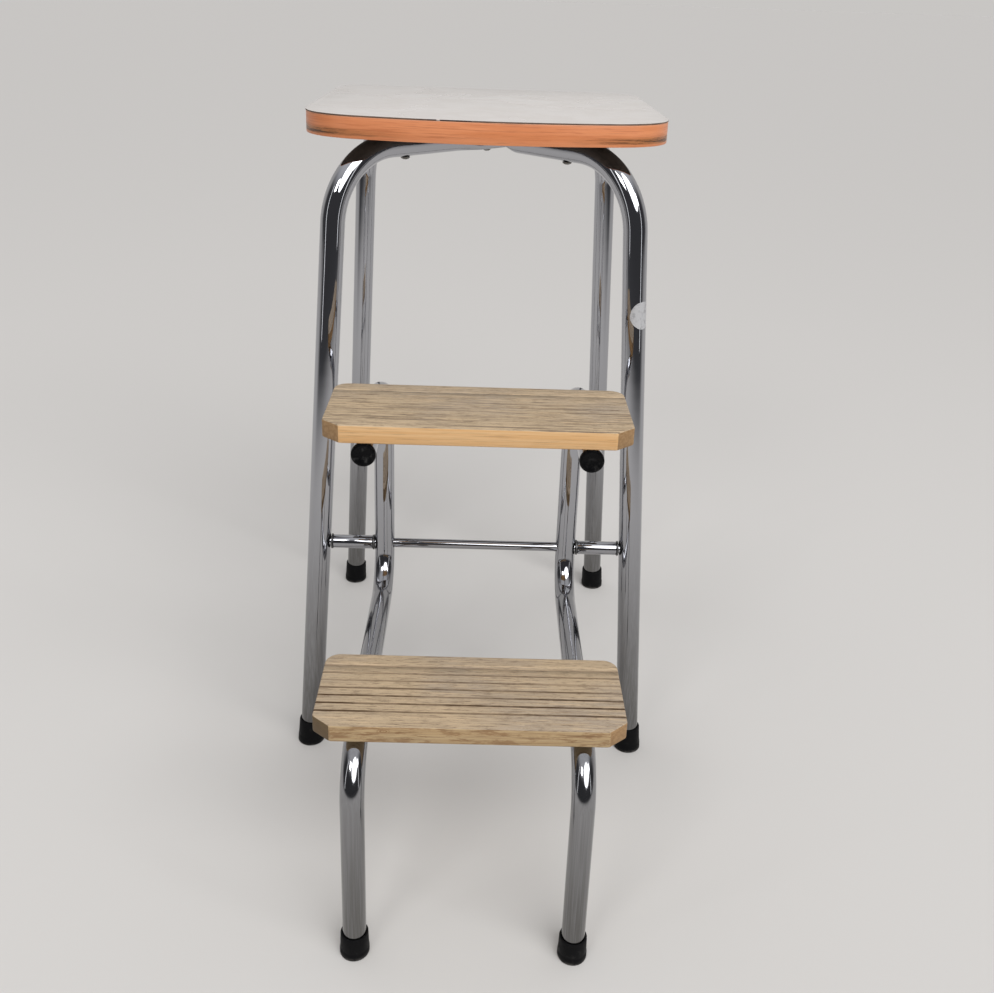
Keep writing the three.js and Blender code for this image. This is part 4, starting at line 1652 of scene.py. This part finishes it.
@dataclass
class PivotRod:
    """The rod that the step unit turns on, with its spacer sleeves and washers."""

    finishes: Finishes
    rod_bore: float = 9.5 * MM
    rod_round: float = 1.0 * MM
    sleeve_roll: float = 0.55 * MM
    washer_round: float = 0.4 * MM

    def build(self) -> None:
        """Makes the rod, the sleeves and the washers."""
        chrome = self.finishes.chrome
        self._turned("pivot_rod", "chrome", 0.0, self.rod_round, chrome)
        for side in Side:
            sleeve = f"spacer_sleeve_{side.label}"
            self._turned(sleeve, "chrome", self.rod_bore, self.sleeve_roll, chrome)
            for place in ("inner", "outer"):
                washer = f"washer_{place}_{side.label}"
                self._turned(washer, "dark", self.rod_bore, self.washer_round, self.finishes.washer)

    def _turned(self, node: str, word: str, bore: float, rounding: float, material: bpy.types.Material) -> None:
        """Makes the rod, a sleeve or a washer, with its outer rims rounded.

        Args:
            node: the CAD node that it stands for.
            word: the first word of the piece's name.
            bore: its hole's diameter, or zero where it is solid.
            rounding: the radius on its rims.
            material: its material.
        """
        low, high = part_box(node)
        outer = (high.z - low.z) / 2
        length = high.x - low.x
        turned = Workpiece()
        turned.turn_on_lathe([(bore / 2, 0), (outer, 0), (outer, length), (bore / 2, length)])
        turned.round_edges(rounding, lambda edge: is_corner(edge)
                           and math.hypot(edge.verts[0].co.x, edge.verts[0].co.y) > bore / 2 + WELD)
        start = Vector((low.x, (low.y + high.y) / 2, (low.z + high.z) / 2))
        turned.place(Matrix.Translation(start) @ Matrix.Rotation(math.pi / 2, 4, "Y"))
        dress(turned.to_object(f"{word}_{node}"), Body.STOOL, [material], [node])


@dataclass
class Screws:
    """The slotted screws: five hold the seat on the frames, eight hold the boards."""

    finishes: Finishes
    shank: float = 4.5 * MM
    head: float = 9 * MM
    head_height: float = 2.6 * MM
    slot: float = 1.2 * MM
    slot_depth: float = 1.2 * MM
    dome_steps: int = 8
    sides: int = 40

    def build(self) -> None:
        """Makes every screw that the frame has."""
        for node in sorted(item.name for item in bpy.data.objects if "_screw_" in item.name):
            body = Body.STOOL if node.startswith("seat") else Body.STEP_UNIT
            self._screw(node, body)

    def _screw(self, node: str, body: Body) -> None:
        """Makes one screw, head down, with a slot across its dome.

        Args:
            node: the CAD node that it stands for.
            body: the body that it rides on.
        """
        low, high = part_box(node)
        length = high.z - low.z
        radius = self.head / 2
        dome = []
        for step in range(self.dome_steps + 1):
            angle = math.pi / 2 * step / self.dome_steps
            dome.append((radius * math.sin(angle), self.head_height * (1 - math.cos(angle))))
        screw = Workpiece()
        screw.turn_on_lathe(dome + [
            (self.shank / 2, self.head_height),
            (self.shank / 2, length - self.shank / 2),
            (0, length),
        ], self.sides)
        place = Matrix.Translation(((low.x + high.x) / 2, (low.y + high.y) / 2, low.z))
        screw.place(place)
        piece = screw.to_object(f"slotted_{node}")
        blade = Workpiece()
        bmesh.ops.create_cube(blade.bm, size=1.0, matrix=place @ Matrix.Diagonal(
            (2 * self.head, self.slot, 2 * self.slot_depth, 1)))
        cut_away(piece, blade)
        dress(piece, body, [self.finishes.steel], [node])


@dataclass
class WornPatch:
    """A blank, worn round of paper stuck on the outer side of the right front leg."""

    finishes: Finishes
    frames: LegFrames
    height: float = 462 * MM
    radius: float = 13 * MM
    thickness: float = 0.12 * MM
    facing: float = math.radians(-50)
    grid: int = 44
    ragged: float = 0.6 * MM
    tears: tuple[tuple[float, int, float], ...] = ((0.5, 5, 0.7), (0.3, 11, 0.0), (0.2, 17, 2.0))

    def build(self) -> None:
        """Cuts the round, wraps it on the tube and gives it its thickness."""
        patch = Workpiece()
        bmesh.ops.create_grid(patch.bm, x_segments=self.grid, y_segments=self.grid, size=self.radius)
        outside = [vert for vert in patch.bm.verts if vert.co.length > self._rim(vert.co)]
        bmesh.ops.delete(patch.bm, geom=outside, context="VERTS")
        for vert in patch.bm.verts:
            if any(edge.is_boundary for edge in vert.link_edges):
                vert.co = vert.co.normalized() * self._rim(vert.co)
        carrier = self.frames.to_frame(Side.RIGHT)
        centre = carrier @ self.frames.on_leg(End.FRONT, self.height)
        above = carrier @ self.frames.on_leg(End.FRONT, self.height + self.radius)
        turn = UP.rotation_difference(above - centre).to_matrix().to_4x4()
        wrap = self.frames.tube / 2 + self.thickness / 2
        for vert in patch.bm.verts:
            angle = self.facing + vert.co.x / wrap
            vert.co = Vector((wrap * math.cos(angle), wrap * math.sin(angle), vert.co.y))
        bmesh.ops.recalc_face_normals(patch.bm, faces=patch.bm.faces)
        bmesh.ops.solidify(patch.bm, geom=list(patch.bm.faces), thickness=self.thickness)
        bmesh.ops.recalc_face_normals(patch.bm, faces=patch.bm.faces)
        patch.place(Matrix.Translation(centre) @ turn)
        dress(patch.to_object("worn_blank_patch"), Body.STOOL, [self.finishes.paper])

    def _rim(self, place: Vector) -> float:
        """How far the torn rim reaches in a direction.

        Args:
            place: a point in that direction.

        Returns:
            The distance from the middle.
        """
        angle = math.atan2(place.y, place.x)
        tear = sum(share * math.sin(times * angle + start) for share, times, start in self.tears)
        return self.radius - self.ragged * (1 + tear) / 2


@dataclass(frozen=True)
class SoftLamp:
    """A soft rectangular lamp that looks at one point."""

    name: str
    place: Point
    aim: Point
    width: float
    height: float
    power: float


@dataclass
class Studio:
    """A plain pale floor, soft lamps, an even surround and the camera."""

    camera_place: Point = (-0.00046, -0.92896, 0.7305)
    pitch: float = math.radians(21.11)
    yaw: float = math.radians(1.06)
    roll: float = math.radians(2.04)
    focal_pixels: float = 1050.3
    axis_pixel_y: float = 399.4
    frame_width: int = 994
    frame_height: int = 993
    sensor: float = 36.0
    floor_half: float = 150.0
    wall: Colour = (0.577, 0.5625, 0.5465)
    room: Colour = (0.063, 0.063, 0.067)
    ceiling: Colour = (0.75, 0.75, 0.77)
    above: Fade = Fade(0.45, 0.90)
    aim: Point = (0, 0, 0.35)
    key_place: Point = (-1.0, -1.9, 2.2)
    key_side: float = 0.7
    key_power: float = 12.0
    fill_place: Point = (1.7, -1.3, 1.9)
    fill_side: float = 0.6
    fill_power: float = 7.0
    strip_off: float = 1.9
    strip_front: float = -1.3
    strip_middle: float = 1.15
    strip_width: float = 0.16
    strip_height: float = 2.2
    strip_power: float = 1.8
    sun_height: float = math.radians(42)
    sun_side: float = math.radians(24)
    sun_softness: float = math.radians(45)
    sun_power: float = 2.0

    def build(self) -> None:
        """Sets up the floor, the surround, the lamps, the camera and the view."""
        self._floor()
        self._surround()
        self._sun()
        self._lamp(SoftLamp("key", self.key_place, self.aim, self.key_side, self.key_side, self.key_power))
        self._lamp(SoftLamp("fill", self.fill_place, self.aim, self.fill_side, self.fill_side,
                            self.fill_power))
        for side in Side:
            place = (side.value * self.strip_off, self.strip_front, self.strip_middle)
            self._lamp(SoftLamp(f"strip_{side.label}", place, (0, 0, self.strip_middle), self.strip_width,
                                self.strip_height, self.strip_power))
        self._camera()
        bpy.context.scene.view_settings.view_transform = "Standard"

    def _floor(self) -> None:
        """Makes the floor."""
        floor = Workpiece()
        bmesh.ops.create_grid(floor.bm, x_segments=1, y_segments=1, size=self.floor_half)
        piece = floor.to_object("studio_floor")
        piece.data.materials.append(PaleFloor().build())

    def _surround(self) -> None:
        """Makes the surround: a pale side behind the stool, a dim one in front, a soft ceiling."""
        world = bpy.data.worlds.new("surround")
        world.use_nodes = True
        surround = NodeWork(world.node_tree)
        way = surround.add("TexCoord").outputs["Generated"]
        walls = surround.lay(self.wall, surround.axis("Y", way), ROOM_FADE, self.room)
        whole = surround.lay(walls, surround.axis("Z", way), self.above, self.ceiling)
        light = surround.add("Background", color=whole)
        surround.add("OutputWorld", surface=light.outputs["Background"])
        bpy.context.scene.world = world

    def _sun(self) -> None:
        """Hangs the broad, soft light that falls evenly on the stool and on the whole floor."""
        data = bpy.data.lights.new("daylight", "SUN")
        data.energy = self.sun_power
        data.angle = self.sun_softness
        level = math.cos(self.sun_height)
        self._hang(data, Vector((-math.sin(self.sun_side) * level, math.cos(self.sun_side) * level,
                                 -math.sin(self.sun_height))))

    def _lamp(self, lamp: SoftLamp) -> None:
        """Hangs a soft lamp.

        Args:
            lamp: the lamp's sizes.
        """
        data = bpy.data.lights.new(lamp.name, "AREA")
        data.shape = "RECTANGLE"
        data.size = lamp.width
        data.size_y = lamp.height
        data.energy = lamp.power
        self._hang(data, Vector(lamp.aim) - Vector(lamp.place), lamp.place)

    def _hang(self, data: bpy.types.Light, way: Vector, place: Point = (0, 0, 0)) -> None:
        """Puts a light in the scene.

        Args:
            data: the light.
            way: the way that it looks.
            place: where it hangs.
        """
        lamp = bpy.data.objects.new(data.name, data)
        lamp.location = place
        lamp.rotation_euler = way.to_track_quat("-Z", "Y").to_euler()
        bpy.context.scene.collection.objects.link(lamp)

    def _camera(self) -> None:
        """Sets the camera where the photograph was taken from."""
        level = Vector((math.cos(self.yaw), -math.sin(self.yaw), 0))
        forward = Vector((math.sin(self.yaw) * math.cos(self.pitch),
                          math.cos(self.yaw) * math.cos(self.pitch), -math.sin(self.pitch)))
        down = forward.cross(level)
        right = math.cos(self.roll) * level - math.sin(self.roll) * down
        up = -(math.sin(self.roll) * level + math.cos(self.roll) * down)
        turn = Matrix((right, up, -forward)).transposed().to_4x4()
        data = bpy.data.cameras.new("camera")
        data.sensor_width = self.sensor
        data.lens = self.sensor * self.focal_pixels / self.frame_width
        data.shift_y = (self.axis_pixel_y - self.frame_height / 2) / self.frame_width
        camera = bpy.data.objects.new("camera", data)
        camera.matrix_world = Matrix.Translation(self.camera_place) @ turn
        bpy.context.scene.collection.objects.link(camera)
        bpy.context.scene.camera = camera


def main() -> None:
    """Loads the frame and builds the stool and its studio around it."""
    logging.basicConfig(level=logging.INFO, format="%(name)s %(message)s")
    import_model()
    finishes = Finishes()
    frames = LegFrames(finishes)
    for assembly in (Seat(finishes), frames, StepUnit(finishes), PivotRod(finishes), Screws(finishes),
                     WornPatch(finishes, frames), Studio()):
        LOG.info("building %s", type(assembly).__name__)
        assembly.build()


if __name__ == "__main__":
    main()
